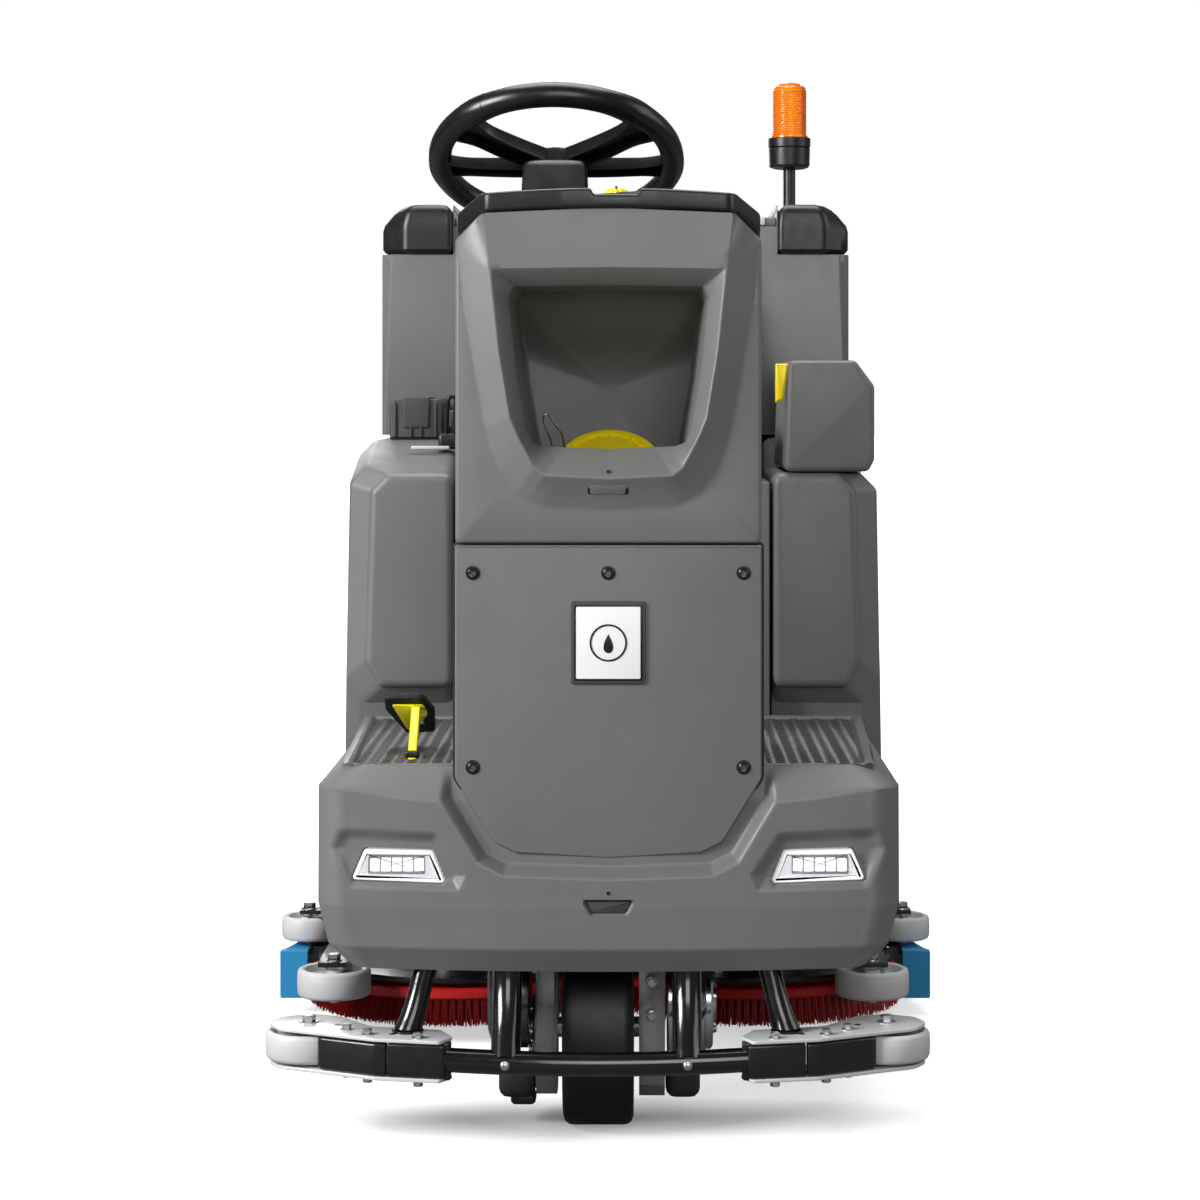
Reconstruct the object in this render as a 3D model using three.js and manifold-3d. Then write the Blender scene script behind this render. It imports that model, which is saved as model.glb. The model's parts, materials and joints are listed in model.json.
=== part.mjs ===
// Ride-on floor scrubber: chassis, bodywork, drive, brush deck, squeegee, bumper and controls.
// Millimetres, +Z up, ground at z = 0. The driver faces -Y, so the driver's right hand is at -X.
import * as THREE from "three";
import { mergeVertices } from "three/addons/utils/BufferGeometryUtils.js";
import Module from "manifold-3d";

const wasm = await Module();
wasm.setup();

// ---- driving dimensions -------------------------------------------------------------------------
const GAP = 0.4; // clearance kept between neighbouring pieces
const WALL = 8; // thickness of the moulded shells
const BODY_X = 15; // the bodywork sits this far left of the chassis centre plane
const REAR_Y = 955; // rear end of the machine; the front end is at -REAR_Y
const DECK_TOP = 507; // top of the step decks' rim
const TREAD_TOP = 500; // walking surface of the decks
const SKIRT = { half: 384, bottom: 240, front: -925, rear: -279, bow: 30 };
const COLUMN = { half: 202, front: -905, rear: -560, seam: 799, top: 1236 };
const DASH_SLOPE = Math.atan(0.38); // the column's top falls towards the driver
const TANK = { front: -275, rear: 895, inner: 242, outer: 412, top: 874, shelf: 921 };
const RECOVERY = { front: 125, rear: 895, half: 383, foot: 397, bottom: 926, top: 1305, lid: 266 };
const STEER_WHEEL = { x: -64, y: -525, z: 1331, radius: 166, grip: 18, tilt: (28 * Math.PI) / 180 };
const FRONT_WHEEL = { y: -725, radius: 130, half: 48 };
const REAR_WHEEL = { x: 325, y: 430, radius: 150, half: 40 };
const BRUSH = { x: 236, y: -25, radius: 230, bottom: 30, top: 90 };
const DECK_ROLLER = { x: 408, y: -272, radius: 56, bottom: 82, top: 124 };
const SIDE_ROLLER = { x: 481, y: 50, radius: 45, bottom: 110, top: 148 };
const BUMPER_ROLLER = { x: 385, y: -825, radius: 58, bottom: 111.5, top: 149 };
const LIP = { inner: 476, outer: 520, bottom: 27, top: 102, front: -25, rear: 262 };
const BEACON = { x: 309, y: 575, pole: 11, lens: 31 };
const SQUEEGEE = { bottom: 45, pivotY: 560, pivotZ: 235 };
const SELECTOR = { x: 10, y: -850, hole: 8.5 };
const STOP = { x: 110, y: -640, hole: 10 };
const FILL_LID = { y: -785, z: 895, radius: 70, tilt: (40 * Math.PI) / 180 };
const STEPS = 24; // sides of the larger round pieces

// ---- materials ----------------------------------------------------------------------------------
const finish = (color, roughness, metalness = 0) =>
  new THREE.MeshStandardMaterial({ color, roughness, metalness });
const BODY = finish(0x7c7c7a, 0.55);
const DARK = finish(0x4c4c4b, 0.6);
const BLACK = finish(0x17181a, 0.5);
const RUBBER = finish(0x1b1b1b, 0.85);
const STEEL = finish(0xb8b9bb, 0.35, 0.9);
const FRAME = finish(0x202224, 0.45, 0.5);
const ROLLER = finish(0xc2c3c4, 0.55);
const YELLOW = finish(0xfae600, 0.45);
const RED = finish(0x9a1518, 0.6);
const BLUE = finish(0x2489bf, 0.6);
const AMBER = finish(0xed8a22, 0.25);
const CLEAR = finish(0xf2f4f5, 0.15);

// ---- solids -------------------------------------------------------------------------------------
// A closed three.js geometry as a manifold-3d solid.
function solid(geometry) {
  const bare = geometry.index ? geometry.toNonIndexed() : geometry.clone();
  for (const name of Object.keys(bare.attributes)) {
    if (name !== "position") bare.deleteAttribute(name);
  }
  const merged = mergeVertices(bare, 1e-3);
  const vertProperties = merged.attributes.position.array;
  const outward = new Uint32Array(merged.index.array);
  const inward = outward.map((_, i) => outward[i - (i % 3) + 2 - (i % 3)]);
  const build = (triVerts) => new wasm.Manifold(new wasm.Mesh({ numProp: 3, vertProperties, triVerts }));
  const made = build(outward);
  return made.volume() < 0 ? build(inward) : made;
}

const join = (...pieces) => pieces.reduce((a, b) => a.add(b));
const cut = (piece, ...tools) => tools.reduce((a, b) => a.subtract(b), piece);

function geometryOf(made) {
  const mesh = made.getMesh();
  const geometry = new THREE.BufferGeometry();
  geometry.setAttribute("position", new THREE.BufferAttribute(mesh.vertProperties, 3));
  geometry.setIndex(new THREE.BufferAttribute(mesh.triVerts, 1));
  geometry.computeVertexNormals();
  return geometry;
}

// A box between two corners.
function box(x0, x1, y0, y1, z0, z1) {
  const geometry = new THREE.BoxGeometry(x1 - x0, y1 - y0, z1 - z0);
  return solid(geometry.translate((x0 + x1) / 2, (y0 + y1) / 2, (z0 + z1) / 2));
}

// A round bar or tube wall about the X, Y or Z axis through (x, y, z), between two stations.
function disc(axis, [a, b], from, to, radius, sides = STEPS) {
  const geometry = new THREE.CylinderGeometry(radius, radius, to - from, sides);
  const middle = (from + to) / 2;
  if (axis === "x") return solid(geometry.rotateZ(Math.PI / 2).translate(middle, a, b));
  if (axis === "y") return solid(geometry.translate(a, middle, b));
  return solid(geometry.rotateX(Math.PI / 2).translate(a, b, middle));
}

// A solid of revolution from [radius, height] pairs, turned about +Z and moved to (x, y).
function turned(profile, [x, y] = [0, 0], sides = STEPS) {
  const points = profile.map(([r, h]) => new THREE.Vector2(r, h));
  return solid(new THREE.LatheGeometry(points, sides).rotateX(Math.PI / 2).translate(x, y, 0));
}

// Rings of the same number of points, joined side by side and closed at both ends.
function loft(rings, axis) {
  const [u, v] = { x: ["y", "z"], y: ["x", "z"], z: ["x", "y"] }[axis];
  const count = rings[0].length;
  const last = (rings.length - 1) * count;
  const index = [];
  for (let r = 0; r + 1 < rings.length; r++) {
    for (let i = 0; i < count; i++) {
      const a = r * count + i;
      const b = r * count + ((i + 1) % count);
      index.push(a, b, b + count, a, b + count, a + count);
    }
  }
  // An end face runs against its ring at the start and along it at the end.
  const area = (points) => THREE.ShapeUtils.area(points);
  const end = (ring, offset, along) => {
    const flat = ring.map((p) => new THREE.Vector2(p[u], p[v]));
    const ringArea = area(flat);
    for (const face of THREE.ShapeUtils.triangulateShape(flat, [])) {
      const same = area(face.map((i) => flat[i])) * ringArea > 0;
      const turned = same === along ? face : [...face].reverse();
      index.push(...turned.map((i) => i + offset));
    }
  };
  end(rings[0], 0, false);
  end(rings.at(-1), last, true);
  const positions = rings.flat().flatMap((p) => [p.x, p.y, p.z]);
  const geometry = new THREE.BufferGeometry();
  geometry.setAttribute("position", new THREE.Float32BufferAttribute(positions, 3));
  geometry.setIndex(index);
  return solid(geometry);
}

const ringZ = (z, outline) => outline.map(([x, y]) => new THREE.Vector3(x, y, z));
const ringY = (y, outline) => outline.map(([x, z]) => new THREE.Vector3(x, y, z));
const ringX = (x, outline) => outline.map(([y, z]) => new THREE.Vector3(x, y, z));

// A straight prism of an outline along an axis.
function prism(axis, outline, from, to) {
  const ring = { x: ringX, y: ringY, z: ringZ }[axis];
  return loft([ring(from, outline), ring(to, outline)], axis);
}

// A round rod along points joined by a smooth curve.
function rod(points, radius, sides = 12, steps = 24) {
  const path = new THREE.CatmullRomCurve3(points.map((p) => new THREE.Vector3(...p)));
  const shape = new THREE.Shape();
  shape.absarc(0, 0, radius, 0, 2 * Math.PI);
  const options = { steps, extrudePath: path, curveSegments: sides / 2, bevelEnabled: false };
  return solid(new THREE.ExtrudeGeometry(shape, options));
}

const mirrored = (outline) => outline.map(([x, y]) => [-x, y]).reverse();

// ---- scene --------------------------------------------------------------------------------------
const group = new THREE.Group();
const bodywork = new THREE.Group();
bodywork.position.x = BODY_X;
group.add(bodywork);

function add(parent, name, made, material) {
  const mesh = new THREE.Mesh(geometryOf(made), material);
  mesh.name = name;
  parent.add(mesh);
  return mesh;
}

// The two hands of a piece: side -1 is the driver's right (-X) and side +1 the driver's left.
const SIDES = [
  [-1, "right"],
  [1, "left"],
];

// ---- front skirt with step decks ----------------------------------------------------------------
// Plan outline of the skirt: square rear corners, round front corners and a bowed front edge.
function skirtOutline(half, front, rear, corner = 45) {
  const bowAt = (x) => front + SKIRT.bow * (x / half) ** 2;
  const points = [[-half, rear]];
  for (let i = 0; i <= 4; i++) {
    const angle = (Math.PI / 8) * i;
    const x = -half + corner * (1 - Math.cos(angle));
    points.push([x, bowAt(half) + corner * (1 - Math.sin(angle)) - (i / 4) * (SKIRT.bow * 0.22)]);
  }
  for (let i = 1; i < 8; i++) {
    const x = (-half + corner) * (1 - i / 4);
    points.push([x, bowAt(x)]);
  }
  const right = mirrored(points.slice(0, 6));
  return [...points, ...right];
}

const panelOutline = [
  [-200.5, 797],
  [-200.5, 492],
  [-149, 409],
  [-121, 395],
  [0, 388],
  [121, 395],
  [149, 409],
  [200.5, 492],
  [200.5, 797],
];

function grow(outline, by) {
  const centreZ = 600;
  return outline.map(([x, z]) => [x + Math.sign(x) * by, z + Math.sign(z - centreZ) * by]);
}

const lampOutline = [
  [-337, 359],
  [-320, 399],
  [-230, 398],
  [-212, 354],
];

function makeSkirt() {
  const levels = [
    [SKIRT.bottom, 342, -908],
    [257, 360, -917],
    [272, 371, SKIRT.front],
    [325, SKIRT.half, SKIRT.front],
    [470, SKIRT.half, SKIRT.front + 4],
    [DECK_TOP, 354, -893],
  ];
  const outer = loft(levels.map(([z, half, y]) => ringZ(z, skirtOutline(half, y, SKIRT.rear))), "z");
  const inside = levels.slice(0, 5).map(([z, half, y]) => {
    const outline = skirtOutline(half - WALL, y + WALL, SKIRT.rear + 20);
    return ringZ(z, outline);
  });
  inside.unshift(ringZ(SKIRT.bottom - 10, skirtOutline(342 - WALL, -900, SKIRT.rear + 20)));
  const hollow = loft(inside, "z");
  const lowHollow = cut(hollow, box(-500, 500, -1000, 0, DECK_TOP - 20, 600));
  const rim = 14;
  const treadSide = [
    [-338, -868],
    [-338, SKIRT.rear - rim],
    [-COLUMN.half - 6, SKIRT.rear - rim],
    [-COLUMN.half - 6, -868],
  ];
  const treads = [treadSide, mirrored(treadSide)].map((o) => prism("z", o, TREAD_TOP, 520));
  const treadRear = box(-COLUMN.half - 8, COLUMN.half + 8, COLUMN.rear + 12, SKIRT.rear - rim, TREAD_TOP, 520);
  const panelBay = prism("y", grow(panelOutline, GAP), -960, -868);
  const lamps = [lampOutline, mirrored(lampOutline)].map((o) => prism("y", o, -960, -855));
  return cut(outer, lowHollow, ...treads, treadRear, panelBay, ...lamps);
}
add(bodywork, "front_skirt", makeSkirt(), BODY);

// ---- service panel and its captive screws -------------------------------------------------------
const SCREWS = [
  [-177, 761],
  [0, 761],
  [177, 761],
  [-177, 507],
  [177, 507],
];
const SCREW = { head: 7.5, shank: 3, hole: 4 };

function makePanel() {
  const plate = prism("y", panelOutline, COLUMN.front, -884);
  return cut(plate, ...SCREWS.map((at) => disc("y", at, -920, -870, SCREW.hole, 12)));
}
add(bodywork, "service_panel", makePanel(), BODY);

// Five screws held by one captive strip frame behind the panel.
function makeScrews() {
  const heads = SCREWS.map((at) => disc("y", at, COLUMN.front - 3, COLUMN.front - GAP, SCREW.head, 12));
  const shanks = SCREWS.map((at) => disc("y", at, COLUMN.front - 1, -881, SCREW.shank, 12));
  const strips = [
    box(-183, 183, -883.5, -880.5, 756, 766),
    box(-183, -171, -883.5, -880.5, 500, 766),
    box(171, 183, -883.5, -880.5, 500, 766),
  ];
  return join(...strips, ...shanks, ...heads);
}
add(bodywork, "panel_screws", makeScrews(), FRAME);

function makeBadge() {
  return cut(box(-49, 49, -909, COLUMN.front - GAP, 616, 724), box(-42, 42, -912, -907, 623, 717));
}
add(bodywork, "badge", makeBadge(), DARK);

// ---- front column with its hopper ---------------------------------------------------------------
// A rounded trapezoid in the X-Z plane: straight top, leaning sides and round bottom corners.
function hopperOutline(halfTop, halfBottom, top, bottom, corner) {
  const points = [[-halfTop, top]];
  for (let i = 0; i <= 5; i++) {
    const angle = (Math.PI / 10) * i;
    const x = -halfBottom + corner * (1 - Math.cos(angle));
    points.push([x, bottom + corner * (1 - Math.sin(angle))]);
  }
  return [...points, ...mirrored(points)];
}

function makeColumn() {
  const { half, front, rear, seam, top } = COLUMN;
  const sideProfile = [
    [-880, DECK_TOP + GAP],
    [-880, seam],
    [front, seam],
    [front, top - 4],
    [rear, top - 4 + (front - rear) * Math.tan(DASH_SLOPE)],
    [rear - 30, 900],
    [rear, DECK_TOP + GAP],
  ];
  const block = prism("x", sideProfile, -half, half);
  const corners = [-1, 1].map((side) =>
    prism("z", [[side * 163, front - 1], [side * 230, front - 1], [side * 230, -815]], 1190, 1300),
  );
  const shell = cut(block, ...corners);
  const inner = prism("x", [
    [-872, 490],
    [-872, seam + WALL],
    [front + WALL, seam + WALL],
    [front + WALL, 1206],
    [rear - WALL, 1206 + (front + WALL - rear) * Math.tan(DASH_SLOPE)],
    [rear - 38, 900],
    [rear - WALL, 490],
  ], -half + WALL, half - WALL);
  const ridge = loft([
    ringY(front - 23, hopperOutline(160, 112, 1210, 884, 60)),
    ringY(front + 2, hopperOutline(190, 140, 1200, 842, 80)),
  ], "y");
  const hopperWall = loft([
    ringY(front - 10, hopperOutline(139, 111, 1152, 912, 50)),
    ringY(-700, hopperOutline(108, 78, 1108, 812, 50)),
  ], "y");
  const hopper = loft([
    ringY(front - 40, hopperOutline(131, 103, 1144, 920, 45)),
    ringY(-708, hopperOutline(100, 70, 1100, 820, 45)),
  ], "y");
  const hollow = cut(inner, hopperWall);
  return cut(join(shell, ridge), hollow, hopper, fillLidTool(), ...consoleHoles());
}

// A round bar square to the tilted filler lid, used to open its seat.
function fillLidTool() {
  const radius = FILL_LID.radius + 2;
  const geometry = new THREE.CylinderGeometry(radius, radius, 95, STEPS);
  geometry.rotateX(Math.PI / 2).translate(0, 0, 28);
  geometry.rotateX(FILL_LID.tilt).translate(0, FILL_LID.y, FILL_LID.z);
  return solid(geometry);
}

// The lid lies across its seat, tilted towards the front.
function makeFillLid() {
  const profile = [
    [0, -6],
    [FILL_LID.radius - 6, -6],
    [FILL_LID.radius, 0],
    [FILL_LID.radius, 6],
    [FILL_LID.radius - 12, 12],
    [0, 14],
  ];
  const points = profile.map(([r, h]) => new THREE.Vector2(r, h));
  const geometry = new THREE.LatheGeometry(points, STEPS).rotateX(Math.PI / 2).rotateX(FILL_LID.tilt);
  return solid(geometry.translate(0, FILL_LID.y, FILL_LID.z));
}
add(bodywork, "column_shell", makeColumn(), BODY);
add(bodywork, "fill_lid", makeFillLid(), YELLOW);

// ---- column cap and console ---------------------------------------------------------------------
// Every piece of the console is drawn level, then tilted about the cap's front edge.
const dashHeight = (y) => COLUMN.top - 4 + GAP + (COLUMN.front - y) * Math.tan(DASH_SLOPE);

function sloped(outline, low, high) {
  const rings = [low, high].map((h) => outline.map(([x, y]) => new THREE.Vector3(x, y, dashHeight(y) + h)));
  return loft(rings, "z");
}

const capOutline = [
  [-163, -905],
  [-55, -918],
  [55, -918],
  [163, -905],
  [201, -845],
  [201, -720],
  [-201, -720],
  [-201, -845],
];
const consoleOutline = [
  [-201, -719.5],
  [201, -719.5],
  [190, -556],
  [-190, -556],
];
const capNotch = sloped([[-21, -930], [41, -930], [41, -880], [-21, -880]], 17, 60);
add(bodywork, "column_cap", cut(sloped(capOutline, 0, 26), capNotch, ...consoleHoles()), BLACK);
add(bodywork, "console_panel", cut(sloped(consoleOutline, 0, 22), ...consoleHoles()), BLACK);

// ---- steering wheel, shroud, selector knob and emergency stop ----------------------------------
// Pieces square to the steering column are drawn about +Z, then tilted back and moved to the hub.
function onColumn(geometry) {
  return solid(geometry.rotateX(-STEER_WHEEL.tilt).translate(STEER_WHEEL.x, STEER_WHEEL.y, STEER_WHEEL.z));
}

// Holes through the console for the steering shroud, the selector knob and the emergency stop.
function consoleHoles() {
  const shroud = onColumn(new THREE.BoxGeometry(90, 78, 300).translate(0, 4, -190));
  return [
    shroud.translate([-BODY_X, 0, 0]),
    disc("z", [SELECTOR.x, SELECTOR.y], 1150, 1300, SELECTOR.hole, 12),
    disc("z", [STOP.x, STOP.y], 1080, 1300, STOP.hole, 12),
  ];
}

function makeSteeringWheel() {
  const { radius, grip } = STEER_WHEEL;
  const ring = onColumn(new THREE.TorusGeometry(radius, grip, 8, 32));
  const hub = onColumn(new THREE.CylinderGeometry(42, 34, 34, STEPS).rotateX(Math.PI / 2).translate(0, 0, -20));
  const spokes = [25, 155, 235, 305].map((degrees) => {
    const bar = new THREE.BoxGeometry(radius - 24, 30, 14).translate(radius / 2 + 6, 0, -12);
    return onColumn(bar.rotateZ((degrees * Math.PI) / 180));
  });
  return join(ring, hub, ...spokes);
}
add(group, "steering_wheel", makeSteeringWheel(), BLACK);

const shroud = onColumn(new THREE.BoxGeometry(86, 74, 200).translate(0, 4, -142));
add(group, "steering_shroud", cut(shroud, box(-300, 300, -900, -200, 900, 1085)), BLACK);

const knobProfile = [
  [0, 1195],
  [7, 1195],
  [7, 1246],
  [16, 1246],
  [16, 1258],
  [11, 1265],
  [0, 1268],
];
add(bodywork, "selector_knob", turned(knobProfile, [SELECTOR.x, SELECTOR.y], 16), YELLOW);

const stopProfile = [
  [0, 1090],
  [8, 1090],
  [8, 1170],
  [20, 1170],
  [20, 1180],
  [14, 1188],
  [0, 1191],
];
add(bodywork, "emergency_stop", turned(stopProfile, [STOP.x, STOP.y], 16), RED);

// ---- wire bail of the filler lid ----------------------------------------------------------------
const bailRoute = [
  [-66, -822, 900],
  [-72, -830, 930],
  [-78, -836, 962],
  [-70, -836, 966],
  [-60, -826, 942],
  [-55, -820, 906],
];
add(bodywork, "fill_bail", rod(bailRoute, 2, 6, 20), STEEL);

// ---- headlights ---------------------------------------------------------------------------------
const lampFit = lampOutline.map(([x, z]) => [x + Math.sign(-275 - x), z + Math.sign(378 - z)]);
add(bodywork, "headlight_right", prism("y", lampFit, -892, -858), CLEAR);
add(bodywork, "headlight_left", prism("y", mirrored(lampFit), -892, -858), CLEAR);

// ---- side tanks ---------------------------------------------------------------------------------
// Cross-section of a side tank on the +X side: flat inner wall, tumblehome outside, cut corners.
function tankSection(bottom, top, outer, inset = 0) {
  const inner = TANK.inner + inset;
  const out = outer - inset;
  return [
    [inner, bottom + inset],
    [out - 20, bottom + inset],
    [out, bottom + inset + 36],
    [out - 9, top - inset - 24],
    [out - 36, top - inset],
    [inner, top - inset],
  ];
}

function makeSideTank(side, stations) {
  const hand = (outline) => (side < 0 ? mirrored(outline) : outline);
  const skin = stations.map(([y, bottom, top, outer]) => ringY(y, hand(tankSection(bottom, top, outer))));
  const inside = stations.map(([y, bottom, top, outer], i) => {
    const shift = i === 0 ? WALL : i === stations.length - 1 ? -WALL : 4;
    return ringY(y + shift, hand(tankSection(bottom, top, outer, WALL)));
  });
  const port = disc("x", [0, 430], side * 235 - 20, side * 235 + 20, 30, 16);
  return cut(loft(skin, "y"), loft(inside, "y"), port);
}

const rightStations = [
  [TANK.front, 532, TANK.top, 384],
  [-240, 512, 882, TANK.outer],
  [-222, 334, 887, TANK.outer],
  [-80, 334, TANK.shelf, TANK.outer],
  [TANK.rear, 334, TANK.shelf, TANK.outer],
];
const leftStations = [
  [TANK.front, 532, TANK.top, 384],
  [-240, 512, TANK.top, TANK.outer],
  [-222, 334, TANK.top, TANK.outer],
  [100, 334, TANK.top, TANK.outer],
  [124, 334, TANK.shelf, TANK.outer],
  [TANK.rear, 334, TANK.shelf, TANK.outer],
];
add(bodywork, "side_tank_right", makeSideTank(-1, rightStations), BODY);
add(bodywork, "side_tank_left", makeSideTank(1, leftStations), BODY);

// ---- seat base, battery, seat -------------------------------------------------------------------
const seatBase = cut(box(-238, 238, -272, 335, 340, 860), box(-230, 230, -264, 327, 330, 852));
const seatRails = [-1, 1].map((side) => box(side * 135 - 14, side * 135 + 14, -235, 60, 859, 877));
add(bodywork, "seat_base", join(seatBase, ...seatRails), BODY);
add(bodywork, "battery_block", box(-222, 222, -255, 315, 345, 620), DARK);
const cushionOutline = [
  [-262, 880],
  [30, 880],
  [30, 950],
  [-235, 965],
  [-262, 945],
];
const backOutline = [
  [-20, 957],
  [10, 1285],
  [62, 1285],
  [66, 880],
  [31, 880],
  [31, 957],
];
add(bodywork, "seat_cushion", prism("x", cushionOutline, -225, 225), RUBBER);
add(bodywork, "seat_back", prism("x", backOutline, -215, 215), RUBBER);

// ---- recovery tank, lid, caps, suction motor ----------------------------------------------------
const CAP = { inner: 268, outer: 386, front: 112, rear: 262, bottom: 1224, top: 1306 };

function recoveryOutline(half, front, rear) {
  const corner = 18;
  return [
    [-half, front + corner],
    [-half + corner, front],
    [half - corner, front],
    [half, front + corner],
    [half, rear],
    [-half, rear],
  ];
}

function makeRecoveryTank() {
  const { front, rear, half, foot, bottom, top } = RECOVERY;
  const level = (z, h, inset) => ringZ(z, recoveryOutline(h - inset, front + inset, rear - inset));
  const upper = loft([level(bottom, foot, 0), level(top, half, 0)], "z");
  const lower = box(-238, 238, 345, rear, 560, bottom + 2);
  const inside = loft([level(bottom + WALL, foot, WALL), level(top - WALL, half, WALL)], "z");
  const insideLow = box(-230, 230, 353, rear - WALL, 568, bottom + 20);
  const lidBay = box(-RECOVERY.lid, RECOVERY.lid, front - 10, rear + 10, 1270, top + 5);
  const shoulders = [-1, 1].map((side) => {
    const x = side * 271;
    return box(x - 4, x + 4, front + 2, rear - 2, 1240, top - 2);
  });
  const caps = [-1, 1].map((side) => {
    const [a, b] = [side * (CAP.inner - GAP), side * (CAP.outer + 20)].sort((m, n) => m - n);
    return box(a, b, front - 30, CAP.rear + GAP, CAP.bottom - GAP, top + 5);
  });
  const backing = [-1, 1].map((side) => {
    const [a, b] = [side * 266, side * 377].sort((m, n) => m - n);
    return join(
      box(a, b, CAP.rear + GAP, CAP.rear + 9, 1210, top - 2),
      box(a, b, front + 4, CAP.rear + 4, 1210, CAP.bottom - GAP),
    );
  });
  const inlet = box(-35, 35, rear - 4, REAR_Y, 1001, 1062);
  const shell = cut(join(upper, lower), inside, insideLow, lidBay);
  return cut(join(shell, ...shoulders, ...backing, inlet), ...caps, lidBay);
}
add(bodywork, "recovery_tank", makeRecoveryTank(), BODY);
const lidHalf = RECOVERY.lid - GAP;
const lidPlate = box(-lidHalf, lidHalf, RECOVERY.front + 1, RECOVERY.rear - 6, 1270 + GAP, 1285);
const lidRib = box(-lidHalf + 40, lidHalf - 40, RECOVERY.front + 60, RECOVERY.rear - 60, 1284, 1292);
add(bodywork, "tank_lid", join(lidPlate, lidRib), DARK);
for (const [side, hand] of SIDES) {
  const capOutside = [
    [side * CAP.inner, CAP.front],
    [side * 355, CAP.front],
    [side * CAP.outer, CAP.front + 34],
    [side * CAP.outer, CAP.rear],
    [side * CAP.inner, CAP.rear],
  ];
  add(bodywork, "tank_cap_" + hand, prism("z", capOutside, CAP.bottom, CAP.top), BLACK);
}
add(bodywork, "suction_motor", disc("z", [0, 640], 332, 545, 80), DARK);

// ---- side box, side console, beacon -------------------------------------------------------------
const boxOutline = [
  [253, 876],
  [390, 876],
  [397, 892],
  [397, 1006],
  [368, 1045],
  [253, 1045],
];
add(bodywork, "side_box_left", prism("y", boxOutline, TANK.front, 95), BODY);
const consoleBox = [
  [-356, TANK.shelf + GAP],
  [-272, TANK.shelf + GAP],
  [-272, 980],
  [-280, 986],
  [-350, 986],
  [-356, 980],
];
add(bodywork, "side_console_right", prism("y", consoleBox, -70, 110), DARK);

const mastProfile = [
  [0, RECOVERY.top + GAP],
  [30, RECOVERY.top + GAP],
  [30, RECOVERY.top + 8],
  [BEACON.pole, RECOVERY.top + 12],
  [BEACON.pole, 1394],
  [26, 1400],
  [30, 1436],
  [38, 1437],
  [38, 1453],
  [0, 1453],
];
const lensProfile = [
  [0, 1453 + GAP],
  [BEACON.lens, 1453 + GAP],
  [BEACON.lens, 1536],
  [24, 1547],
  [0, 1552],
];
add(bodywork, "beacon_mast", turned(mastProfile, [BEACON.x, BEACON.y], 20), BLACK);
add(bodywork, "beacon_lens", turned(lensProfile, [BEACON.x, BEACON.y], 20), AMBER);

// ---- accelerator: yellow arm hinged at its foot, black pad on top -------------------------------
const armOutline = [
  [-787, 506],
  [-776, 503],
  [-700, 552],
  [-706, 562],
];
const gussetOutline = [
  [-700, 566],
  [-704, 556],
  [-664, 528],
  [-660, 534],
];
const padOutline = [
  [-640, 524],
  [-635, 531],
  [-703, 587],
  [-709, 580],
];
const pedalArm = join(
  prism("x", armOutline, -272, -260),
  prism("x", gussetOutline, -298, -260),
  disc("x", [-781, 509], -280, -252, 5, 12),
);
add(bodywork, "accelerator_arm", pedalArm, YELLOW);
add(bodywork, "accelerator_pad", prism("x", padOutline, -307, -240), RUBBER);

// ---- chassis ------------------------------------------------------------------------------------
const AXLE = 14;
const BORE = 15;

function makeChassis() {
  const beams = [-1, 1].map((side) => box(side * 200 - 15, side * 200 + 15, -640, 860, 270, 330));
  const plate = cut(box(-215, 215, -905, -600, 318, 330), disc("z", [0, FRONT_WHEEL.y], 300, 350, 22));
  const crosses = [
    [-640, -600, 300],
    [-280, -240, 270],
    [400, 460, 270],
    [540, 580, 280],
    [820, 860, 270],
  ].map(([y0, y1, z0]) => box(-190, 190, y0, y1, z0, 330));
  const hangers = [-1, 1].map((side) => box(side * 228 - 14, side * 228 + 14, 400, 460, 120, 330));
  const stubs = [-1, 1].map((side) => {
    const [a, b] = [side * 240, side * 362].sort((m, n) => m - n);
    return disc("x", [REAR_WHEEL.y, REAR_WHEEL.radius], a, b, AXLE, 16);
  });
  const lugs = [-1, 1].map((side) => box(side * 38 - 8, side * 38 + 8, 545, 575, 220, 285));
  const pin = disc("x", [SQUEEGEE.pivotY, SQUEEGEE.pivotZ], -70, 70, 6, 12);
  return join(plate, ...beams, ...crosses, ...hangers, ...stubs, ...lugs, pin);
}
add(group, "chassis_frame", makeChassis(), FRAME);

// A wheel about the X axis with rounded shoulders and a plain bore. One flat of its 32 faces down.
function makeWheel(x, y, z, rolling, half, bore, shoulder) {
  const flats = 32;
  const radius = rolling / Math.cos(Math.PI / flats);
  const profile = [
    [bore, -half],
    [radius - shoulder, -half],
    [radius, -half + shoulder],
    [radius, half - shoulder],
    [radius - shoulder, half],
    [bore, half],
    [bore, -half],
  ].map(([r, h]) => new THREE.Vector2(r, h));
  const turned = new THREE.LatheGeometry(profile, flats, Math.PI / flats);
  return solid(turned.rotateZ(Math.PI / 2).translate(x, y, z));
}

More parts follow.
